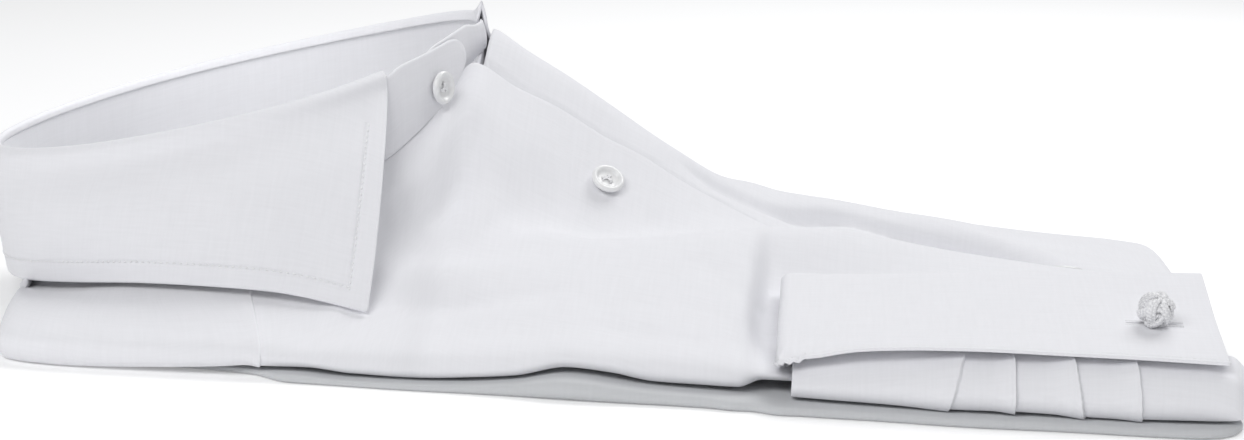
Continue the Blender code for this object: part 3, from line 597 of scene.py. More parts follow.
def make_stand():
    last = len(RING_PLAN) - 1
    k = np.concatenate([np.linspace(0, 1.4, 26), np.linspace(1.5, last - 1.5, 130)])
    k = np.concatenate([k, np.linspace(last - 1.4, last - 0.02, 26)])
    drop = hermite(RING["drop"], k)
    flare = hermite(RING["flare"], k)
    end = np.clip(np.minimum(k, last - k) / 0.8, 0, 1)
    corner = 1 - np.sqrt(np.clip(1 - (1 - end) ** 2, 0, 1))
    under_leaf = np.clip(np.minimum(k - LEAF_FIRST + 1.0, LEAF_LAST + 0.6 - k) / 0.5, 0, 1)
    under_leaf = under_leaf**2 * (3 - 2 * under_leaf)
    top = 1.5 + 1.9 * under_leaf + corner * 7.0
    low = drop - 0.1 - corner * 4.0
    face = []
    for share in np.linspace(0, 1, 30):
        down = top + (low - top) * share
        bow = STAND_BOW * math.sin(math.pi * share)
        face.append(ring(k, flare * down / drop + STAND_OUT + bow, down))
    face = np.stack(face, axis=1)
    out = normals(face)
    edges = np.concatenate([face[:30, 0], face[-30:, 0], face[0], face[-1]])
    seam = np.abs(distance_to(face, edges) - 1.7)
    piece = shell("collar_stand_cloth", face, POPLIN, seam=seam)
    across = lengths(face, 1)
    rows = []
    for i_range in (np.arange(0, 24), np.arange(len(k) - 24, len(k))):
        inset = 1.7 / (across[i_range, -1]) * (face.shape[1] - 1)
        rows.append(grid_line(face, out, i_range, inset, 0.1))
    return piece, stitched("collar_stand_stitches", rows, 1.9, 1.4, 0.16)


stand, stand_stitches = make_stand()
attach(stand, "root")
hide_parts("collar_stand")

# ---------------------------------------------------------------- collar leaf
# The fall of the collar: fused cotton, sewn to the top of the stand, rolled over it and
# pressed down to two points. A row of stitches runs 6 mm inside its free edges.
LEAF_CLEAR = 2.4
FLICK = 4.2
LEAF_STITCH_IN = 6.2


def leaf_edge(k):
    """The leaf's free edge on the radial line k."""
    edge = np.stack([RING["ex"], RING["ey"], RING["ez"]], axis=1)
    span = LEAF_LAST - LEAF_FIRST
    return flowing(edge[LEAF_FIRST : LEAF_LAST + 1], [min(k - LEAF_FIRST, span - 0.001)])[0]


def make_leaf():
    k_rows = np.concatenate([
        np.linspace(LEAF_FIRST, LEAF_FIRST + 0.7, 22),
        np.linspace(LEAF_FIRST + 0.75, LEAF_LAST - 0.75, 150),
        np.linspace(LEAF_LAST - 0.7, LEAF_LAST, 22),
    ])
    spread = np.concatenate([np.linspace(0, 0.16, 22)[:-1], np.linspace(0.16, 0.9, 48)[:-1],
                             np.linspace(0.9, 1, 12)])
    face = []
    for k in k_rows:
        seam = ring([k], -1.9, 2.6)[0]
        rise = ring([k], -1.5, 0.9)[0]
        crown = ring([k], 0.0, -FLICK * max(0, 1 - (k - LEAF_FIRST) / 0.4))[0]
        fall = ring([k], 2.0, 1.6)[0]
        hang = ring([k], 2.9, 6.5)[0]
        hem = leaf_edge(k)
        nape = math.exp(-(((k - 11) / 2.4) ** 2))
        out = np.append(ring_out([k])[0], 0.0) * (1 - nape)
        point = min(max((k - 15.0) / 2.0, 0), 1)
        mid = hang * 0.62 + hem * 0.38 + out * (4.0 - 2.4 * point) + np.array([0, 0, 1.5])
        low = hang * 0.25 + hem * 0.75 + out * (3.4 - 2.2 * point)
        face.append(section([seam, rise, crown, fall, hang, mid, low, hem], 0, spread))
    face = np.stack(face)[:, ::-1]
    out = normals(face)
    edge = np.concatenate([face[:, 0], face[0, :60], face[-1, :60]])
    seam = np.abs(distance_to(face, edge) - LEAF_STITCH_IN)
    seam[:, -26:] = NO_SEAM
    piece = shell("collar_leaf_cloth", face, POPLIN, seam=seam)
    across, along = lengths(face, 1), lengths(face, 0)
    first = np.array([np.interp(LEAF_STITCH_IN, along[:, j], np.arange(len(k_rows)))
                      for j in range(face.shape[1])])
    back = along[-1] - along
    last = np.array([np.interp(LEAF_STITCH_IN, back[::-1, j], np.arange(len(k_rows))[::-1])
                     for j in range(face.shape[1])])
    inset = np.array([np.interp(LEAF_STITCH_IN, across[i], np.arange(face.shape[1]))
                      for i in range(len(k_rows))])
    corner_low, corner_high = inset[0], inset[-1]
    top = face.shape[1] - 27
    rows_low = np.arange(math.ceil(first[int(corner_low)]), int(last[int(corner_high)]) + 1)
    lines = [
        grid_line(face, out, rows_low, inset[rows_low], 0.1),
        grid_line(face, out, first[int(corner_low) : top], np.arange(int(corner_low), top), 0.1),
        grid_line(face, out, last[int(corner_high) : top], np.arange(int(corner_high), top), 0.1),
    ]
    return piece, stitched("collar_leaf_stitches", lines)


leaf, leaf_stitches = make_leaf()
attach(leaf, "root")
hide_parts("collar_leaf")

# ---------------------------------------------------------------- right front
# The front on top, cut with the placket the buttons are sewn to. It falls from the
# neckline over the folded layers to the near edge, and turns under at the folded hem.

# A row per section. top: neckline or placket edge. a, b: placket and valley. r: ridge.
# m, s: near slope. n: outermost point. lift: lowest point above the surface.
NEAR = """
 xt    yt    zt   xl    ya   za    yb   zb    yr   zr    ym   zm    ys   zs    yn    zn    lift
-104   12    0  -118  -64   31   -71   25   -79  19.0  -88  16.5  -98  14.5  -112.0  7.0   3.5
-104   12    0  -104  -56   40   -66   30   -77  19.0  -88  15.5  -98  12.8  -112.0  6.0   3.6
-104   12    0   -90  -41   47   -46   38   -53  31.0  -68  22.0  -84  14.8  -112.0  4.4   2.4
-104   12    0   -77  -24   56   -35   43   -46  32.2  -66  23.0  -84  15.4  -112.5  4.2   2.3
 -70   12   84.5 -65   -3   72   -25   46   -44  32.8  -66  24.0  -84  16.0  -113.0  4.4   2.6
 -55   12   76.5 -53   -3   64   -24   42   -43  32.9  -66  25.0  -86  17.0  -113.0  5.2   3.4
 -40   12   70.0 -39   -3   57   -22   39   -42  33.2  -66  26.0  -88  18.0  -113.0  7.0   4.8
 -23   12   60.2 -23   -3   48.5 -20   37   -41  34.3  -66  27.2  -88  19.4  -112.5 11.5   8.2
 -10   12   54.2  -9   -3   43.4 -18   35.2 -40  35.0  -66  27.2  -88  19.2  -112.5 10.5   7.2
   3   12   46.6   3   -3   39.4 -17   34   -37  36.2  -64  27.6  -88  18.8  -112.5  8.5   5.4
  17   11.5 39.6  17   -3   35.8 -15   34   -33  37.2  -60  28.4  -88  18.4  -112.5  8.0   5.0
  30   10   34.0  29   -3   33.2 -12   34.4 -26  37.4  -54  28.6  -88  16.4  -112.0  7.2   4.6
  38    9   31.0  37   -2   32.4  -9   34.8 -20  37.2  -48  21.4  -86  12.0  -108.0  8.6   6.3
  50    8   25.2  49   -2   30.2  -9   34.2 -16  37.0  -48  20.2  -86  11.6  -107.5  8.6   6.2
  66    6   23.6  66   -1   28.2  -7   33.4 -13  35.8  -48  21.0  -86  12.0  -107.5  8.6   6.2
  85    5   21.6  85   -1   25.6  -7   30.2 -13  32.7  -48  22.2  -86  12.4  -107.5  8.6   6.2
 105    5   20.0 105   -1   23.4  -7   27.6 -14  30.2  -48  23.4  -86  12.6  -107.5  8.6   6.2
 135    5   19.4 135   -2   21.6  -9   25.4 -17  28.0  -48  24.0  -86  12.6  -107.5  8.6   6.2
 165    5   18.0 165   -2   20.2  -9   23.2 -17  25.4  -48  23.4  -86  12.2  -107.5  8.6   6.2
 177    5   16.4 177   -2   18.2  -9   20.2 -17  22.0  -48  21.0  -86  11.6  -107.0  8.6   6.2
 182    5   13.0 182   -2   14.4  -9   15.4 -17  16.2  -48  15.4  -86  10.4  -105.5  8.2   6.2
 184    5    8.4 184   -2    8.8  -9    9.2 -17   9.4  -48   9.0  -86   8.0  -103.5  7.4   6.2
"""
NEAR_NECK = (15.8, 17.0, 18.3, 19.6)

# Soft ridges and troughs pressed or left in the cloth, each from 1 to 2 in plan with a
# sideways bow. wide: half width. high: height, below zero for a trough.
NEAR_CREASES = """
 x1     y1    x2    y2   bow  wide  high
 -76    -4   -86   -40    2    4.5   1.7
 -65    -2   -78   -42    3    3.8  -2.0
 -55    -4   -66   -46    2    4.5   1.2
 -32   -14   -46   -56    3    7.0   1.2
 -98   -62   -36   -56   -3    7.0   1.5
 -92   -76   -30   -72   -4    6.0  -1.7
 -60   -88    30   -90    2    8.0   0.9
  10   -50    32   -72    2    6.0  -0.9
  36   -60    37   -94    0    3.6  -1.3
  26   -56    28   -92    0    4.0   0.8
 -52   -30    14   -24   -2    7.0  -1.6
 -20   -96    20  -100    1    5.0  -0.8
  30     3   160     4    0    3.0   0.9
 100    -6   160    -7    1    4.0  -0.5
"""


def creased(grid, text, out):
    """Raises and lowers a grid of cloth along the creases of a table."""
    rows = table(text)
    height = np.zeros(grid.shape[:2])
    t = np.linspace(0, 1, 40)[:, None]
    for n in range(len(rows["x1"])):
        a = np.array([rows["x1"][n], rows["y1"][n]])
        b = np.array([rows["x2"][n], rows["y2"][n]])
        way = (b - a) / np.linalg.norm(b - a)
        bulge = (a + b) / 2 + np.array([-way[1], way[0]]) * rows["bow"][n] * 2
        path = (1 - t) ** 2 * a + 2 * t * (1 - t) * bulge + t**2 * b
        gap = np.linalg.norm(grid[:, :, None, :2] - path[None, None], axis=3)
        where = np.argmin(gap, axis=2) / 39.0
        away = np.min(gap, axis=2)
        fade = np.sin(np.pi * np.clip(where * 0.94 + 0.03, 0, 1)) ** 0.8
        uneven = 1 + 0.25 * np.sin(where * 9.0 + n)
        height += rows["high"][n] * fade * uneven * np.exp(-((away / rows["wide"][n]) ** 2))
    return grid + out * height[..., None]


def rippled(grid, amount, out):
    """The slow unevenness of cloth that only lies on something."""
    x, y = grid[..., 0], grid[..., 1]
    wave = np.sin(x / 11.3 + y / 19.0 + 0.7) + 0.8 * np.sin(x / 23.0 - y / 9.1 + 2.1)
    wave = wave + 0.6 * np.sin(x / 6.7 + y / 31.0 + 4.0)
    return grid + out * (wave * amount / 2.4)[..., None]


def front_points(v, crest, side):
    """Control points of one section, side +1 for the near front and -1 for the far one."""

    def place(y, z):
        share = (v["yt"] - y) / (v["yt"] - v["yn"])
        x = v["xt"] + (v["xl"] - v["xt"]) * min(max(share, 0), 1)
        return (x, y, z)

    low = v["lift"]
    return [
        (v["xt"], v["yt"], v["zt"]),
        place(v["ya"], v["za"]),
        place(v["yb"], v["zb"]),
        place(v["y" + crest], v["z" + crest]),
        place(v["ym"], v["zm"]),
        place(v["ys"], v["zs"]),
        place(v["yn"] + side * 2.2, v["zn"] * 0.45 + v["zs"] * 0.4 + 1.2),
        place(v["yn"], v["zn"]),
        place(v["yn"] + side * 1.6, low + 0.6),
        place(v["yn"] + side * 5.0, low),
        place(v["yn"] + side * 11.0, low + 0.3),
    ]


def front_sections(text, neck, crest, side, rows, cols):
    """The face of a front as a grid: rows from the yoke to the hem, columns to the side fold."""
    left = table(text)["xl"]
    index = np.arange(len(left))
    even = np.interp(np.linspace(left[0], left[-1], rows), left, index)
    at = even * 0.8 + np.linspace(0, index[-1], rows) * 0.2
    tops = neckline(neck, -0.5)
    tops[:, 2] -= 0.7
    sections = named_rows(text, at, tops)
    return np.stack([section(front_points(v, crest, side), cols) for v in sections])


def make_front_right():
    """The right front's cloth, and its face as a grid for the left front to lie under."""
    face = front_sections(NEAR, NEAR_NECK, "r", 1, 230, 130)
    out = -normals(face)
    face = rippled(creased(face, NEAR_CREASES, out), 0.16, out)
    seam = np.full(face.shape[:2], NO_SEAM)
    return shell("front_right_cloth", face[::-1], POPLIN, seam=seam), face


front_right, near_face = make_front_right()
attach(front_right, "root")
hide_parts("front_right")

# ---------------------------------------------------------------- left front
# The front underneath. It comes out from under the placket, climbs to the collar and rolls
# over the far edge. Its crest makes the skyline between the collar and the hem.

# A row per section. top: lapped edge under the placket. a, b: where it comes out.
# c: crest. m, s: far slope. n: outermost point.
FAR = """
 xt    yt    zt   xl    ya   za    yb   zb    yc   zc    ym   zm    ys   zs    yn    zn    lift
-104  -10    0  -118   66   41    74   35    82  28.0   91  22.0  100  17.0   112.5  8.0   3.5
-104  -10    0  -104   62   52    73   41    84  30.0   93  23.0  102  16.5   113.0  8.0   3.5
-104  -10    0   -88   56   68    68   54    81  37.0   91  27.0  101  18.0   113.0  8.0   3.5
-104  -10    0   -72   42   80    54   70    70  52.0   86  32.0   99  18.0   113.5  8.0   3.5
 -68  -10   66   -60    2   75.5  14   84.2  30  94.6   56  72.0   90  27.0   114.0  8.0   3.5
 -55  -10   56   -53    2   66    14   76.0  30  88.0   56  64.0   90  25.0   114.0  8.0   3.5
 -40  -10   50   -39    2   60    14   69.6  30  79.8   58  56.0   91  23.0   114.5  8.0   3.5
 -23  -10   43   -23    2   51    14   59.8  30  69.2   60  47.0   92  21.0   115.0  8.0   3.5
 -10  -10   37.5  -9    2   45.6  14   53.8  30  60.6   62  41.0   93  19.5   115.0  8.0   3.5
   3  -10   34.6   3    2   40.0  14   46.0  31  52.8   64  37.0   94  18.5   115.5  8.0   3.5
  17  -10   32.2  17    2   35.6  14   39.2  36  44.4   68  33.0   95  18.0   116.0  8.0   3.5
  30  -10   32.2  29    2   31.0  12.5 33.2  44  40.0   73  31.5   97  17.5   116.0  8.0   3.5
  38  -10   32.4  37    2   29.4  11.5 29.8  44  38.0   74  30.6   98  17.0   116.0  8.0   3.5
  50  -10   32.0  49    2   26.4  10.6 24.4  40  36.2   74  30.0   99  17.0   116.0  8.0   3.5
  66   -9   30.4  66    1   24.4   8.6 22.8  34  34.2   72  29.2  100  17.0   116.5  8.0   3.5
  85   -9   28.0  85    1   22.4   7.6 20.8  31  31.4   76  26.0  102  16.5   116.5  8.0   3.5
 105   -9   24.8 105    1   20.6   7.6 19.3  29  27.6   86  22.6  105  15.6   117.0  7.6   3.5
 135   -9   22.4 135    1   19.4   7.6 18.7  26  23.4   92  19.0  108  14.2   117.0  7.4   3.5
 165   -9   20.4 165    1   17.6   7.6 17.3  24  19.8   96  16.4  110  13.0   117.0  7.0   3.5
 177   -9   18.2 177    1   16.0   7.6 15.6  24  17.4   96  14.8  110  12.0   116.5  6.8   3.5
 182   -9   13.6 182    1   12.4   7.6 12.2  24  12.8   96  11.4  109   9.8   115.0  6.2   3.5
 184   -9    7.2 184    1    7.4   7.6  7.4  24   7.8   96   7.4  107   7.0   113.0  5.4   3.5
"""
FAR_NECK = (6.1, 4.9, 3.9, 3.1)

FAR_CREASES = """
 x1     y1    x2    y2   bow  wide  high
  20    44    60    36    2    6.0   0.9
   4    24    66    30    0    3.6  -4.2
  54    30   136    12    0    3.2  -6.0
  52    44   156    17    0    5.0   2.6
  90    42   165    40    1    6.0  -1.1
  70    50   150    60    3    8.0   0.7
  60    78   140    84   -3    7.0  -0.8
 -60    70   -10    86    4    9.0   0.9
 -30    92    60   100   -3    6.0  -0.7
 -90    90   -50    96    2    6.0   0.6
"""


def pressed_under(points, cover, depth, edge):
    """Points lowered to lie a depth below a covering grid, where the cover reaches over them."""
    lift = -normals(cover)
    flat = cover.reshape(-1, 3)
    up = lift.reshape(-1, 3)
    out = points.copy()
    for i, j in np.ndindex(points.shape[:2]):
        x, y, z = points[i, j]
        nearest = np.argmin(np.hypot(flat[:, 0] - x, flat[:, 1] - y))
        at, n = flat[nearest], up[nearest]
        if y > at[1] + edge or n[2] < 0.2:
            continue
        top = at[2] - ((x - at[0]) * n[0] + (y - at[1]) * n[1]) / n[2]
        out[i, j, 2] = min(z, top - depth / n[2])
    return out


def make_front_left():
    face = front_sections(FAR, FAR_NECK, "c", -1, 210, 120)
    lapped = 40
    face[:, :lapped] = pressed_under(face[:, :lapped], near_face[::3, :70:3], 2.0, 3.4)
    out = normals(face)
    face = creased(face, FAR_CREASES, out)
    face = rippled(face, 0.16, out)
    return shell("front_left_cloth", face, POPLIN_PLAIN)


front_left = make_front_left()
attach(front_left, "root")
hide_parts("front_left")

# ---------------------------------------------------------------- yoke
# Two plies over the shoulders, sewn to the stand round the neck and to the fronts at
# each side. It rolls under at the fold across the shoulders.

# A row per radial line from one seam round the nape to the other.
# k: place on the collar ring. s: top of the outer edge. o: outermost.
YOKE = """
 k     xs    ys    zs    xo    yo    zo   lift
 6.1  -124    97   18   -118  112.5  8.0  3.5
 7.0  -154    97   17   -149  112.5  7.0  1.6
 7.8  -180    96   15.5 -178  112.0  6.0  0.4
 8.4  -195    90   14   -195  107.0  5.0  0.4
 9.0  -202    74   12.5 -205   86.0  5.0  0.4
10.0  -211    38   10   -215   42.0  5.0  0.4
11.0  -219     0    8   -222    0.0  4.6  0.4
12.0  -213   -38   10.5 -216  -42.0  5.0  0.4
13.0  -207   -72   14   -208  -85.0  6.0  0.4
13.6  -200   -92   13.5 -201 -106.5  6.0  0.4
14.2  -182   -98   14.0 -180 -112.0  6.0  0.4
15.0  -154   -97   14   -149 -112.5  5.6  1.6
15.8  -124   -98   14.5 -118 -112.0  7.0  3.5
"""

YOKE_CREASES = """
 x1     y1    x2    y2   bow  wide  high
-196   -70  -130   -86    4    7.0   0.7
-210    20  -204    64    3    6.0  -0.6
-160    96  -120    92    2    6.0   0.6
"""


# Rows of cloth over which the yoke eases onto the edge of each front.
SEAM_BLEND = 7


def make_yoke():
    rows, cols = 170, 80
    grid = []
    for v in named_rows(YOKE, rows):
        top = neckline([v["k"]])[0] - np.array([0, 0, 1.2])
        outer = np.array([v["xo"], v["yo"]])
        inward = np.array([-150.0, 0.0]) - outer
        inward = inward / np.linalg.norm(inward)
        points = [
            top,
            leaf_edge(v["k"]) - np.append(ring_out([v["k"]])[0] * 4.4, LEAF_CLEAR),
            (v["xs"], v["ys"], v["zs"]),
            (*(outer + inward * 1.6), v["zs"] * 0.5 + v["zo"] * 0.5),
            (*outer, v["zo"]),
            (*(outer + inward * 1.8), v["lift"] + 0.5),
            (*(outer + inward * 7.0), v["lift"]),
        ]
        grid.append(section(points, cols))
    grid = np.stack(grid)
    far = front_sections(FAR, FAR_NECK, "c", -1, 40, 120)[0]
    near = front_sections(NEAR, NEAR_NECK, "r", 1, 40, 120)[0]
    for end, seam in ((0, far), (rows - 1, near)):
        edge = section(seam, cols) - np.array([0.1, 0, 0])
        shift = edge - grid[end]
        for step in range(SEAM_BLEND):
            row = end + step if end == 0 else end - step
            grid[row] += shift * (1 - step / SEAM_BLEND) ** 2
    out = -normals(grid)
    from_seam = np.minimum(lengths(grid, 0), lengths(grid[::-1], 0)[::-1])
    grid = grid + out * (0.55 * np.exp(-((from_seam / 3.4) ** 2)))[..., None]
    grid = creased(grid, YOKE_CREASES, out)
    grid = rippled(grid, 0.12, out)
    seam = np.minimum(np.abs(lengths(grid, 0) - 1.6), np.abs(lengths(grid[::-1], 0)[::-1] - 1.6))
    return shell("yoke_cloth", grid[::-1], POPLIN, seam=seam[::-1])


yoke = make_yoke()
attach(yoke, "root")
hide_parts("yoke")

# ---------------------------------------------------------------- folded layers
# What is folded behind, as one rounded body: the back, the lower fronts, the tails and the
# other sleeve. Along the near side its lip shows under the front and the sleeve. Its cloth is painted
# grey as painted shade.

# Outline and height of the lip, and the height of the stack inside it.
LAYERS = """
 x     near    far    lip   core
-210   -28     30    1.6    3.0
-204   -50     52    2.0    5.0
-196   -76     80    2.4    7.0
-180   -98     100   2.6    8.0
-165  -102     103   2.6    8.5
-150  -103.5   104   2.4    9.0
-136  -104.5   105   1.5    9.5
-122  -107     108   1.9   10.0
-108  -115     111   2.6   10.0
 -90  -116     112   1.8   10.0
 -60  -116.5   112   2.4   10.5
 -40  -117     112   4.0   11.0
 -22  -117     112   6.6   12.0
   2  -118     112   4.4   12.0
  23  -119     112   3.6   12.0
  45  -122     112   2.8   10.0
 108  -124.5   112   2.8    9.0
 165  -124     112   2.8    9.0
 176  -120     110   2.8    8.0
 181  -112     104   2.4    5.0
"""


def rounded_lip(y, height, side):
    """Points up the rounded edge of the body: side -1 is the near one, 1 the far one."""
    lip = []
    for a in np.radians([-80, -40, 0, 40, 80]):
        lip.append((y + side * (height / 2 * math.cos(a)), height / 2 + height / 2 * math.sin(a)))
    return lip


# Painted shade: the folded layers are the same white cotton as the rest, painted a darker grey for the
# shade under the front and the sleeve.
PAINTED_SHADE_GREY = (0.62, 0.63, 0.645)
LIP_IN = 0.6
LOWEST = 0.15


def make_layers():
    rings = []
    for v in named_rows(LAYERS, 200):
        x, y1, lip, core = v["x"], v["far"], v["lip"], v["core"]
        lean = min(lip, 2.4)
        crumple = math.exp(-(((x - 36) / 12.0) ** 2))
        wave = 0.35 * math.sin(x / 9.0) + crumple * 0.9 * math.sin(x / 2.6 + 1)
        y0 = v["near"] + wave
        near = rounded_lip(y0 + LIP_IN, lip, -1)
        near += [(y0 + 12.0, lip), (y0 + 26.0, lip), (y0 + 34.0, lip * 0.4 + core * 0.6)]
        far = [(y0 + 44.0, core), (y1 - 40.0, core), (y1 - 30.0, lean * 0.4 + core * 0.6)]
        far += [(y1 - 22.0, lean)] + rounded_lip(y1 - LIP_IN, lean, 1)[::-1]
        rings.append([(x, y, max(z, LOWEST)) for y, z in near + far])
    rings = np.array(rings)
    rows, count = rings.shape[:2]
    a = (np.arange(rows - 1)[:, None] * count + np.arange(count)).reshape(-1)
    b = (np.arange(rows - 1)[:, None] * count + (np.arange(count) + 1) % count).reshape(-1)
    faces = np.stack([a, a + count, b + count, b], axis=1).tolist()
    faces.append(list(range(count)))
    faces.append([(rows - 1) * count + j for j in reversed(range(count))])
    uv = np.stack([lengths(rings, 1), rings[:, :, 0]], axis=2).reshape(-1, 2) * MM
    paint = poplin("white_poplin_in_painted_shade", PAINTED_SHADE_GREY, 0.5, seams=False)
    return mesh_piece("folded_layers_cloth", rings.reshape(-1, 3) - DRAWN_ABOUT, faces, paint, uv)


layers = make_layers()
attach(layers, "root")
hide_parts("folded_layers")

# ---------------------------------------------------------------- sleeve
# The lower end of the right sleeve, which comes round from behind. It is pleated into the
# cuff, and the pressed edges of the pleats stand a little proud.

# t: under the cuff. s: shoulder. o: outermost. b: bottom.
SLEEVE = """
 x     yt      zt    ys     zs     yo     zo    yb    zb
  46  -103.0  14.6  -112   12.0   -117   7.6  -103   3.4
  56  -103.0  16.8  -113   13.0   -118   8.0  -103   3.4
  68  -103.0  18.6  -114   14.0   -119   8.2  -103   3.4
  85  -103.0  20.2  -115   15.0   -120   8.6  -103   3.4
 110  -103.0  21.0  -116   16.0   -120.5 9.0  -103   3.4
 140  -103.0  21.2  -116   16.4   -120.5 9.0  -103   3.4
 165  -103.0  21.2  -116   16.4   -119.5 8.8  -103   3.4
 177  -103.5  21.0  -115   15.6   -118   8.4  -103   3.4
 182  -105.0  17.6  -112   13.6   -115   8.0  -103   3.4
"""
# Each pleat: place, height, width of its slope, and how far its edge leans along the sleeve.
PLEATS = ((98, 1.5, 14, -10), (112, 2.0, 7, 1), (129, 2.2, 9, 8), (148, 1.9, 9, 4))


def make_sleeve():
    station = table(SLEEVE)["x"]
    x = np.unique(np.concatenate([np.linspace(station[0], station[-1], 330)]
                                 + [np.linspace(p - 0.6, p + 0.9, 8) for p, _, _, _ in PLEATS]))
    grid = []
    for v in named_rows(SLEEVE, np.interp(x, station, np.arange(len(station)))):
        points = [
            (v["x"], v["yt"], v["zt"]),
            (v["x"], v["ys"] * 0.6 + v["yt"] * 0.4, v["zs"] * 0.5 + v["zt"] * 0.5),
            (v["x"], v["ys"], v["zs"]),
            (v["x"], v["yo"], v["zo"]),
            (v["x"], v["yo"] + 1.6, v["zb"] + 0.9),
            (v["x"], v["yo"] + 5.5, v["zb"]),
            (v["x"], v["yb"], v["zb"]),
        ]
        grid.append(section(points, 60))
    grid = np.stack(grid)
    out = -normals(grid)
    share = np.linspace(0, 1, grid.shape[1])
    strength = np.clip((share - 0.02) / 0.2, 0.35, 1) * np.clip((0.8 - share) / 0.25, 0, 1)
    height = np.zeros(grid.shape[:2])
    for place, rise, width, lean in PLEATS:
        along = grid[:, :, 0] - (place + lean * share[None, :] ** 1.5)
        height += rise * np.where(along < 0, np.clip(1 + along / width, 0, 1) ** 1.4, 0)
    face = grid + out * (height * strength[None, :])[..., None] * 0.8
    face = rippled(face, 0.5, out)
    return shell("sleeve_right_cloth", face[::-1], POPLIN_PLAIN)


sleeve = make_sleeve()
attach(sleeve, "root")
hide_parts("sleeve_right")

# ---------------------------------------------------------------- cuff
# A French cuff, folded back on itself and laid flat: two plies over, two under, rounded at
# one side and open at the other. Its free edge is bagged out and edge-stitched.

# u: opening edge. m: middle. l: free edge. z is the height of the cuff's middle surface.
CUFF = """
 x     yu    zu    ym    zm    yl    zl
  40  -48   25.6  -84   17.6  -114  10.6
  50  -48   25.8  -84   18.4  -114  13.4
  66  -48   26.4  -83   20.0  -114  16.6
  85  -48   27.6  -82   21.4  -114  18.0
 110  -48   29.4  -82   22.8  -114  18.6
 140  -48   31.0  -82   23.8  -114  18.6
 175  -48   32.2  -82   24.4  -114  18.2
"""
UNDER_SHARE = 0.80
CUFF_HALF = 3.2
CUFF_MOUTH = 0.5
CUFF_EDGE_STITCH = 1.7
KNOT_AT = 156.0
KNOT_SHARE = 0.585
SLIT_L = 17.0
SLIT_W = 1.3


def cuff_point(x, share):
    """Middle surface of the cuff: share 0 is its opening edge, 1 its free edge."""
    columns = table(CUFF)
    x, share = np.broadcast_arrays(np.asarray(x, float), np.asarray(share, float))
    row = np.interp(x, columns["x"], np.arange(len(columns["x"])))
    v = {name: hermite(column, row.ravel()).reshape(x.shape) for name, column in columns.items()}
    first, middle, last = (np.stack([x, v["y" + n], v["z" + n]], axis=-1) for n in "uml")
    share = np.clip(share, 0, 1)[..., None]
    early = share < 0.5
    t = np.where(early, share * 2, share * 2 - 1)
    bend = (last - first) / 2
    return eased(t, np.where(early, first, middle), np.where(early, middle, last),
                 np.where(early, middle - first, bend), np.where(early, bend, last - middle))


def cuff_up(x, share):
    """Upward direction of the cuff's middle surface."""
    x, share = np.asarray(x, float), np.asarray(share, float)
    along = cuff_point(x + 1, share) - cuff_point(x - 1, share)
    across = cuff_point(x, share - 0.03) - cuff_point(x, share + 0.03)
    up = np.cross(along, across)
    return up / np.linalg.norm(up, axis=-1, keepdims=True)


def make_cuff():
    columns = table(CUFF)
    left, right = columns["x"][0], columns["x"][-1]
    turn = (CUFF_HALF - CUFF_MOUTH) / 2
    middle = (CUFF_HALF + CUFF_MOUTH) / 2
    shares = np.concatenate([np.linspace(1, 0.93, 10)[:-1], np.linspace(0.93, 0.07, 40)])
    profile = [(share, CUFF_HALF) for share in shares]
    for angle in np.linspace(80, -80, 11):
        a = math.radians(angle)
        profile.append((0.022 - 0.022 * math.cos(a), middle + turn * math.sin(a)))
    profile += [(share, CUFF_MOUTH) for share in np.linspace(0.07, 0.77, 22)]
    loop = [(x, 1.0) for x in np.linspace(right, left + 4, 100)]
    loop += [(None, math.radians(angle)) for angle in np.linspace(78, -78, 14)]
    loop += [(x, -1.0) for x in np.linspace(left + 4, right, 50)]
    share, half = np.array(profile).T
    side = np.array([y if x is not None else math.sin(y) for x, y in loop])
    forward = np.array([0.0 if x is not None else math.cos(y) for x, y in loop])
    at = np.array([left + 4 if x is None else x for x, y in loop])
    share = share * (1 - (1 - UNDER_SHARE) * (1 - side[:, None]) / 2)
    where = at[:, None] - half * forward[:, None] * 1.1
    lift = (half * side[:, None])[..., None]
    face = (cuff_point(where, share) + cuff_up(where, share) * lift)[::-1]
    out = normals(face)
    across = lengths(face, 1)
    piping = 0.45 * np.clip(1 - (across / CUFF_EDGE_STITCH) ** 4, 0, 1)
    corner = np.exp(-(((face[..., 0] - 45.0) / 7.0) ** 2)) * np.exp(-((across / 7.0) ** 2))
    frill = corner * (0.55 * np.sin(lengths(face, 0) * 2.4) + 0.3 * np.sin(face[..., 2] * 3.1))
    soft = 0.25 * np.sin(face[..., 0] / 15.0 + face[..., 1] / 11.0)
    face = face + out * (piping + frill + soft * np.exp(-(((across - 30) / 22.0) ** 2)))[..., None]
    piece = shell("cuff_right_cloth", face, POPLIN, seam=np.abs(across - CUFF_EDGE_STITCH))
    at = np.array([np.interp(CUFF_EDGE_STITCH, across[i], np.arange(face.shape[1]))
                   for i in range(face.shape[0])])
    line = grid_line(face, out, np.arange(face.shape[0]), at, 0.02)
    stitches = stitched("cuff_edge_stitches", [line], 2.0, 1.5, 0.14)
    return piece, stitches


cuff, cuff_stitches = make_cuff()

# The buttonhole, cut through every ply and overcast with close stitches.
knot_centre = cuff_point(KNOT_AT, KNOT_SHARE)
knot_up = cuff_up(KNOT_AT, KNOT_SHARE)


def prism(name, low, high):
    """A closed cutter between two rings of points in metres or in a button's own sizes."""
    sides = len(low)
    faces = [tuple(reversed(range(sides))), tuple(range(sides, 2 * sides))]
    faces += [(n, (n + 1) % sides, sides + (n + 1) % sides, sides + n) for n in range(sides)]
    mesh = bpy.data.meshes.new(name)
    mesh.from_pydata([tuple(point) for point in (*low, *high)], [], faces)
    mesh.update()
    return in_scene(name, mesh)


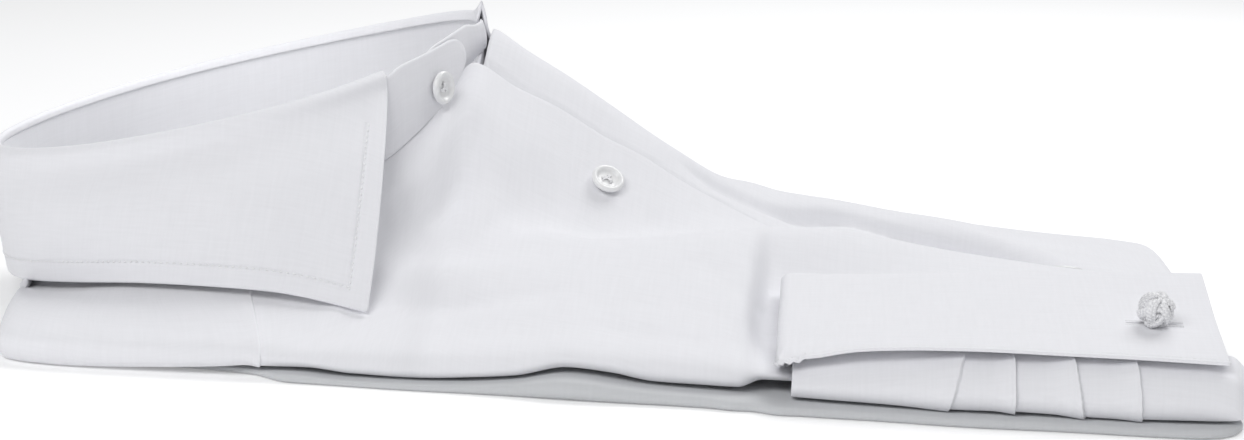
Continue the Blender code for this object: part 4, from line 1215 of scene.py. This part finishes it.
def cut_away(piece, cutters):
    """The piece's mesh less its cutters, which are then removed."""
    for cutter in cutters:
        cut = piece.modifiers.new(cutter.name, "BOOLEAN")
        cut.operation = "DIFFERENCE"
        cut.solver = "EXACT"
        cut.object = cutter
    whole = made_mesh(piece)
    piece.modifiers.clear()
    for cutter in cutters:
        bpy.data.objects.remove(cutter)
    return whole


def make_slit():
    """Cuts the buttonhole, and gives the two lines of its overcast stitches."""
    x = np.array([1.0, 0.0, 0.0])
    y = np.cross(knot_up, x)
    y /= np.linalg.norm(y)
    x = np.cross(y, knot_up)
    sides = 24
    rim = []
    for n in range(sides):
        a = 2 * math.pi * n / sides
        wide = SLIT_W / 2 * (1 - 0.75 * abs(math.cos(a)) ** 3)
        rim.append(x * math.cos(a) * SLIT_L / 2 + y * math.sin(a) * wide)
    ends = [[(knot_centre + r + knot_up * h - DRAWN_ABOUT) * MM for r in rim] for h in (-8.0, 8.0)]
    whole = cut_away(cuff, [prism("slit", *ends)])
    old = cuff.data
    cuff.data = whole
    whole.name = "cuff_right_cloth"
    bpy.data.meshes.remove(old)
    lines = []
    for side in (-1, 1):
        t = np.linspace(-1, 1, 60)
        place = knot_centre + x * t[:, None] * SLIT_L / 2 * 1.02
        place = place + y * (side * (SLIT_W / 2 + 0.7)) + knot_up * (CUFF_HALF + 0.05)
        lines.append((place, np.repeat(knot_up[None], len(t), axis=0)))
    return lines


slit_lines = make_slit()
slit_stitches = stitched("buttonhole_stitches", slit_lines, 0.42, 0.36, 0.55)
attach(cuff, "root")
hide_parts("cuff_right")

# ---------------------------------------------------------------- buttons
# White pearly buttons, turned with a raised rim and a dished middle. Three holes take the
# thread, which crosses from each hole to the middle.
BUTTON_D = 11.5
BUTTON_T = 2.6
HOLE_D = 1.3
HOLES_OUT = 1.55
BUTTON_TURN = {"front_button_1": 90, "front_button_2": 70, "front_button_3": 100,
               "collar_button": 60}


def make_button_paint():
    """Pearly white, clouded, under a thin gloss."""
    looks = {"Roughness": 0.28, "Coat Weight": 0.35, "Coat Roughness": 0.15}
    paint, tree, shader = new_paint("white_pearl_button", looks)
    place = add_node(tree, "ShaderNodeTexCoord")
    inputs = {"Scale": 260.0, "Detail": 3.0, "Distortion": 1.2, "Vector": place.outputs["Object"]}
    cloud = add_node(tree, "ShaderNodeTexNoise", inputs)
    two_tones(tree, shader, (0.80, 0.81, 0.82), (0.90, 0.895, 0.885), cloud.outputs["Fac"])
    return paint


PEARL = make_button_paint()


def standing(node):
    """Middle and upward direction of a round node."""
    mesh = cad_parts[node].data
    points = np.array([vertex.co for vertex in mesh.vertices]) / MM
    middle = (points.max(axis=0) + points.min(axis=0)) / 2
    spread = np.cov((points - points.mean(axis=0)).T)
    up = np.linalg.eigh(spread)[1][:, 0]
    return middle, up * (1 if up[2] > 0 else -1)


def make_button(node, turn):
    middle, up = standing(node)
    x = np.cross([0.0, 1.0, 0.0], up)
    x /= np.linalg.norm(x)
    y = np.cross(up, x)
    r = BUTTON_D / 2
    profile = [(0.0, 0.0), (r - 1.9, 0.0), (r - 1.0, 0.25), (r - 0.35, 0.75), (r - 0.08, 1.2), (r, 1.7),
               (r - 0.12, 2.15), (r - 0.45, 2.48), (r - 0.95, BUTTON_T), (r - 1.4, 2.5),
               (r - 1.75, 2.2), (r - 2.05, 1.75), (r - 2.5, 1.5), (r - 3.2, 1.42), (0.0, 1.4)]
    around = 64
    points, faces = [(0.0, 0.0, 0.0)], []
    for radius, height in profile[1:-1]:
        for n in range(around):
            a = 2 * math.pi * n / around
            points.append((radius * math.cos(a), radius * math.sin(a), height))
    points.append((0.0, 0.0, profile[-1][1]))
    for n in range(around):
        m = (n + 1) % around
        faces.append((0, 1 + m, 1 + n))
        for band in range(len(profile) - 3):
            a, b = 1 + band * around + n, 1 + band * around + m
            faces.append((a, b, b + around, a + around))
        top = 1 + (len(profile) - 3) * around
        faces.append((top + n, top + m, len(points) - 1))
    mesh = bpy.data.meshes.new(node + "_turned")
    mesh.from_pydata(points, [], faces)
    mesh.update()
    button = in_scene(node + "_turned", mesh)
    holes = []
    for n in range(3):
        a = math.radians(turn + 120 * n)
        rims = []
        for height in (-1.0, 4.0):
            rims.append([(HOLES_OUT * math.cos(a) + HOLE_D / 2 * math.cos(2 * math.pi * m / 20),
                          HOLES_OUT * math.sin(a) + HOLE_D / 2 * math.sin(2 * math.pi * m / 20),
                          height) for m in range(20)])
        holes.append(prism("hole", *rims))
    whole = cut_away(button, holes)
    bpy.data.objects.remove(button)
    base = middle - up * BUTTON_T / 2
    local = np.array([vertex.co for vertex in whole.vertices])
    placed = base + local[:, :1] * x + local[:, 1:2] * y + local[:, 2:] * up
    whole.vertices.foreach_set("co", (placed * MM).ravel())
    whole.materials.clear()
    whole.materials.append(PEARL)
    whole.update()
    whole.shade_smooth()
    whole.name = node + "_turned"
    return in_scene(node + "_turned", whole), (base, x, y, up)


def tube(name, lines, radius, paint, sides=8):
    """Thread or cord along lines of points (in the frame's millimetres), with closed ends."""
    points, faces, uv = [], [], []
    for line, closed in lines:
        line = np.asarray(line, float)
        count = len(line)
        if closed:
            tangent = np.roll(line, -1, axis=0) - np.roll(line, 1, axis=0)
        else:
            tangent = np.gradient(line, axis=0)
        tangent /= np.linalg.norm(tangent, axis=1, keepdims=True)
        side = np.cross(tangent[0], [0.3, 0.5, 0.81])
        side /= np.linalg.norm(side)
        start = len(points)
        run = 0.0
        for i in range(count):
            side = side - tangent[i] * np.dot(side, tangent[i])
            side /= np.linalg.norm(side)
            other = np.cross(tangent[i], side)
            run += np.linalg.norm(line[i] - line[i - 1]) if i else 0.0
            for s in range(sides):
                a = 2 * math.pi * s / sides
                points.append(line[i] + (side * math.cos(a) + other * math.sin(a)) * radius)
                uv.append((s / sides, run))
        for i in range(count if closed else count - 1):
            for s in range(sides):
                a, b = start + i * sides + s, start + i * sides + (s + 1) % sides
                c = start + ((i + 1) % count) * sides + (s + 1) % sides
                d = start + ((i + 1) % count) * sides + s
                faces.append((a, b, c, d))
        if not closed:
            faces.append(tuple(start + s for s in reversed(range(sides))))
            faces.append(tuple(start + (count - 1) * sides + s for s in range(sides)))
    return mesh_piece(name, points, faces, paint, uv, "cord")


def sew_on(node, turn, seat):
    """Three bundles of thread, each rising from a hole and meeting in the middle."""
    base, x, y, up = seat
    lines = []
    for n in range(3):
        for shift in (-0.5, -0.25, 0.0, 0.25, 0.5):
            a = math.radians(turn + 120 * n)
            out = x * math.cos(a) + y * math.sin(a)
            side = -x * math.sin(a) + y * math.cos(a)
            line = []
            for t in np.linspace(0, 1, 12):
                reach = HOLES_OUT * 1.25 * (1 - t) + 0.15 * t
                rise = 0.2 + 2.0 * min(1, t * 3.5) - 0.3 * max(0, t - 0.3)
                pinch = shift * (1 - 0.45 * t)
                line.append(base + out * reach + side * pinch + up * rise)
            lines.append((line, False))
    return tube(node + "_thread", lines, 0.2, THREAD)


for button_node, button_turn in BUTTON_TURN.items():
    button, button_seat = make_button(button_node, button_turn)
    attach(button, "root")
    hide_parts(button_node)
    button_thread = sew_on(button_node, button_turn, button_seat)
    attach(button_thread, "root")

# ---------------------------------------------------------------- silk knot
# A link tied from white silk cord: a ball woven of doubled strands over the cuff, a
# smaller one under it, and a short stem of cord between them through the buttonholes.
CORD_D = 1.5
KNOT_D = 12.0


def make_cord_paint():
    """White silk cord, ridged by its lay, with painted shade in the grooves and painted highlight on
    the ridges.
    """
    looks = {"Roughness": 0.45, "Sheen Weight": 0.35, "Sheen Roughness": 0.3}
    paint, tree, shader = new_paint("white_silk_cord", looks)
    place = add_node(tree, "ShaderNodeUVMap", uv_map="cord")
    part = add_node(tree, "ShaderNodeSeparateXYZ", {0: place.outputs[0]})
    lay = sums(tree, "MULTIPLY_ADD", part.outputs[0], 2 * math.pi,
               sums(tree, "MULTIPLY", part.outputs[1], 5.6))
    ply = sums(tree, "MULTIPLY_ADD", sums(tree, "SINE", lay), 0.5, 0.5)
    # Painted shade and highlight: the colour follows the ridges of the lay, darker in the grooves and
    # lighter on the crests.
    two_tones(tree, shader, (0.80, 0.80, 0.82), (0.94, 0.94, 0.95), ply)
    tree.links.new(bumped(tree, ply, 0.9, 0.0002), shader.inputs["Normal"])
    return paint


def woven_ball(centre, up, radius, leads, bights, strands, cord):
    """Lines of a ball-shaped turk's head: leads passes round, bights at each pole."""
    x = np.cross([0.3, 1.0, 0.2], up)
    x /= np.linalg.norm(x)
    y = np.cross(up, x)
    lines = []
    for strand in range(strands):
        aside = (strand - (strands - 1) / 2) * cord * 1.02
        t = np.linspace(0, 2 * math.pi * leads, 60 * leads, endpoint=False)
        phase = t * bights / leads
        lat = np.radians(66) * np.cos(phase) + aside / radius
        rise = radius + cord * 0.42 * np.sin(2 * phase)
        flat = rise * np.cos(lat)
        line = centre + np.outer(flat * np.cos(t), x) + np.outer(flat * np.sin(t), y)
        line = line + np.outer(rise * np.sin(lat), up)
        lines.append((line, True))
    return lines


def make_knot():
    centre = knot_centre - DRAWN_ABOUT
    ball = KNOT_D / 2
    top = centre + knot_up * (CUFF_HALF + 0.4 + ball * 0.80) + np.array([0, -1.2, 0])
    low = centre - knot_up * (CUFF_HALF + 2.4)
    tilt = knot_up + np.array([0.35, -0.55, 0.0])
    tilt /= np.linalg.norm(tilt)
    lines = woven_ball(top, tilt, ball - CORD_D * 0.9, 3, 5, 3, CORD_D)
    lines += woven_ball(top, np.array([0.8, 0.0, 0.6]), ball - CORD_D * 1.9, 3, 5, 3, CORD_D)
    stem = [low + knot_up * h for h in np.linspace(0, 2 * CUFF_HALF + 4, 10)]
    lines += [(np.array(stem) + np.array([s, 0, 0]), False) for s in (-0.55, 0.55)]
    small = woven_ball(np.zeros(3), knot_up, 2.9, 3, 4, 2, CORD_D)
    for line, closed in small:
        squashed = line - np.outer(line @ knot_up, knot_up) * 0.6
        lines.append((low + squashed, closed))
    return tube("cuff_knot_cord", lines, CORD_D / 2, make_cord_paint(), 10)


knot = make_knot()
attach(knot, "root")
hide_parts("cuff_knot")
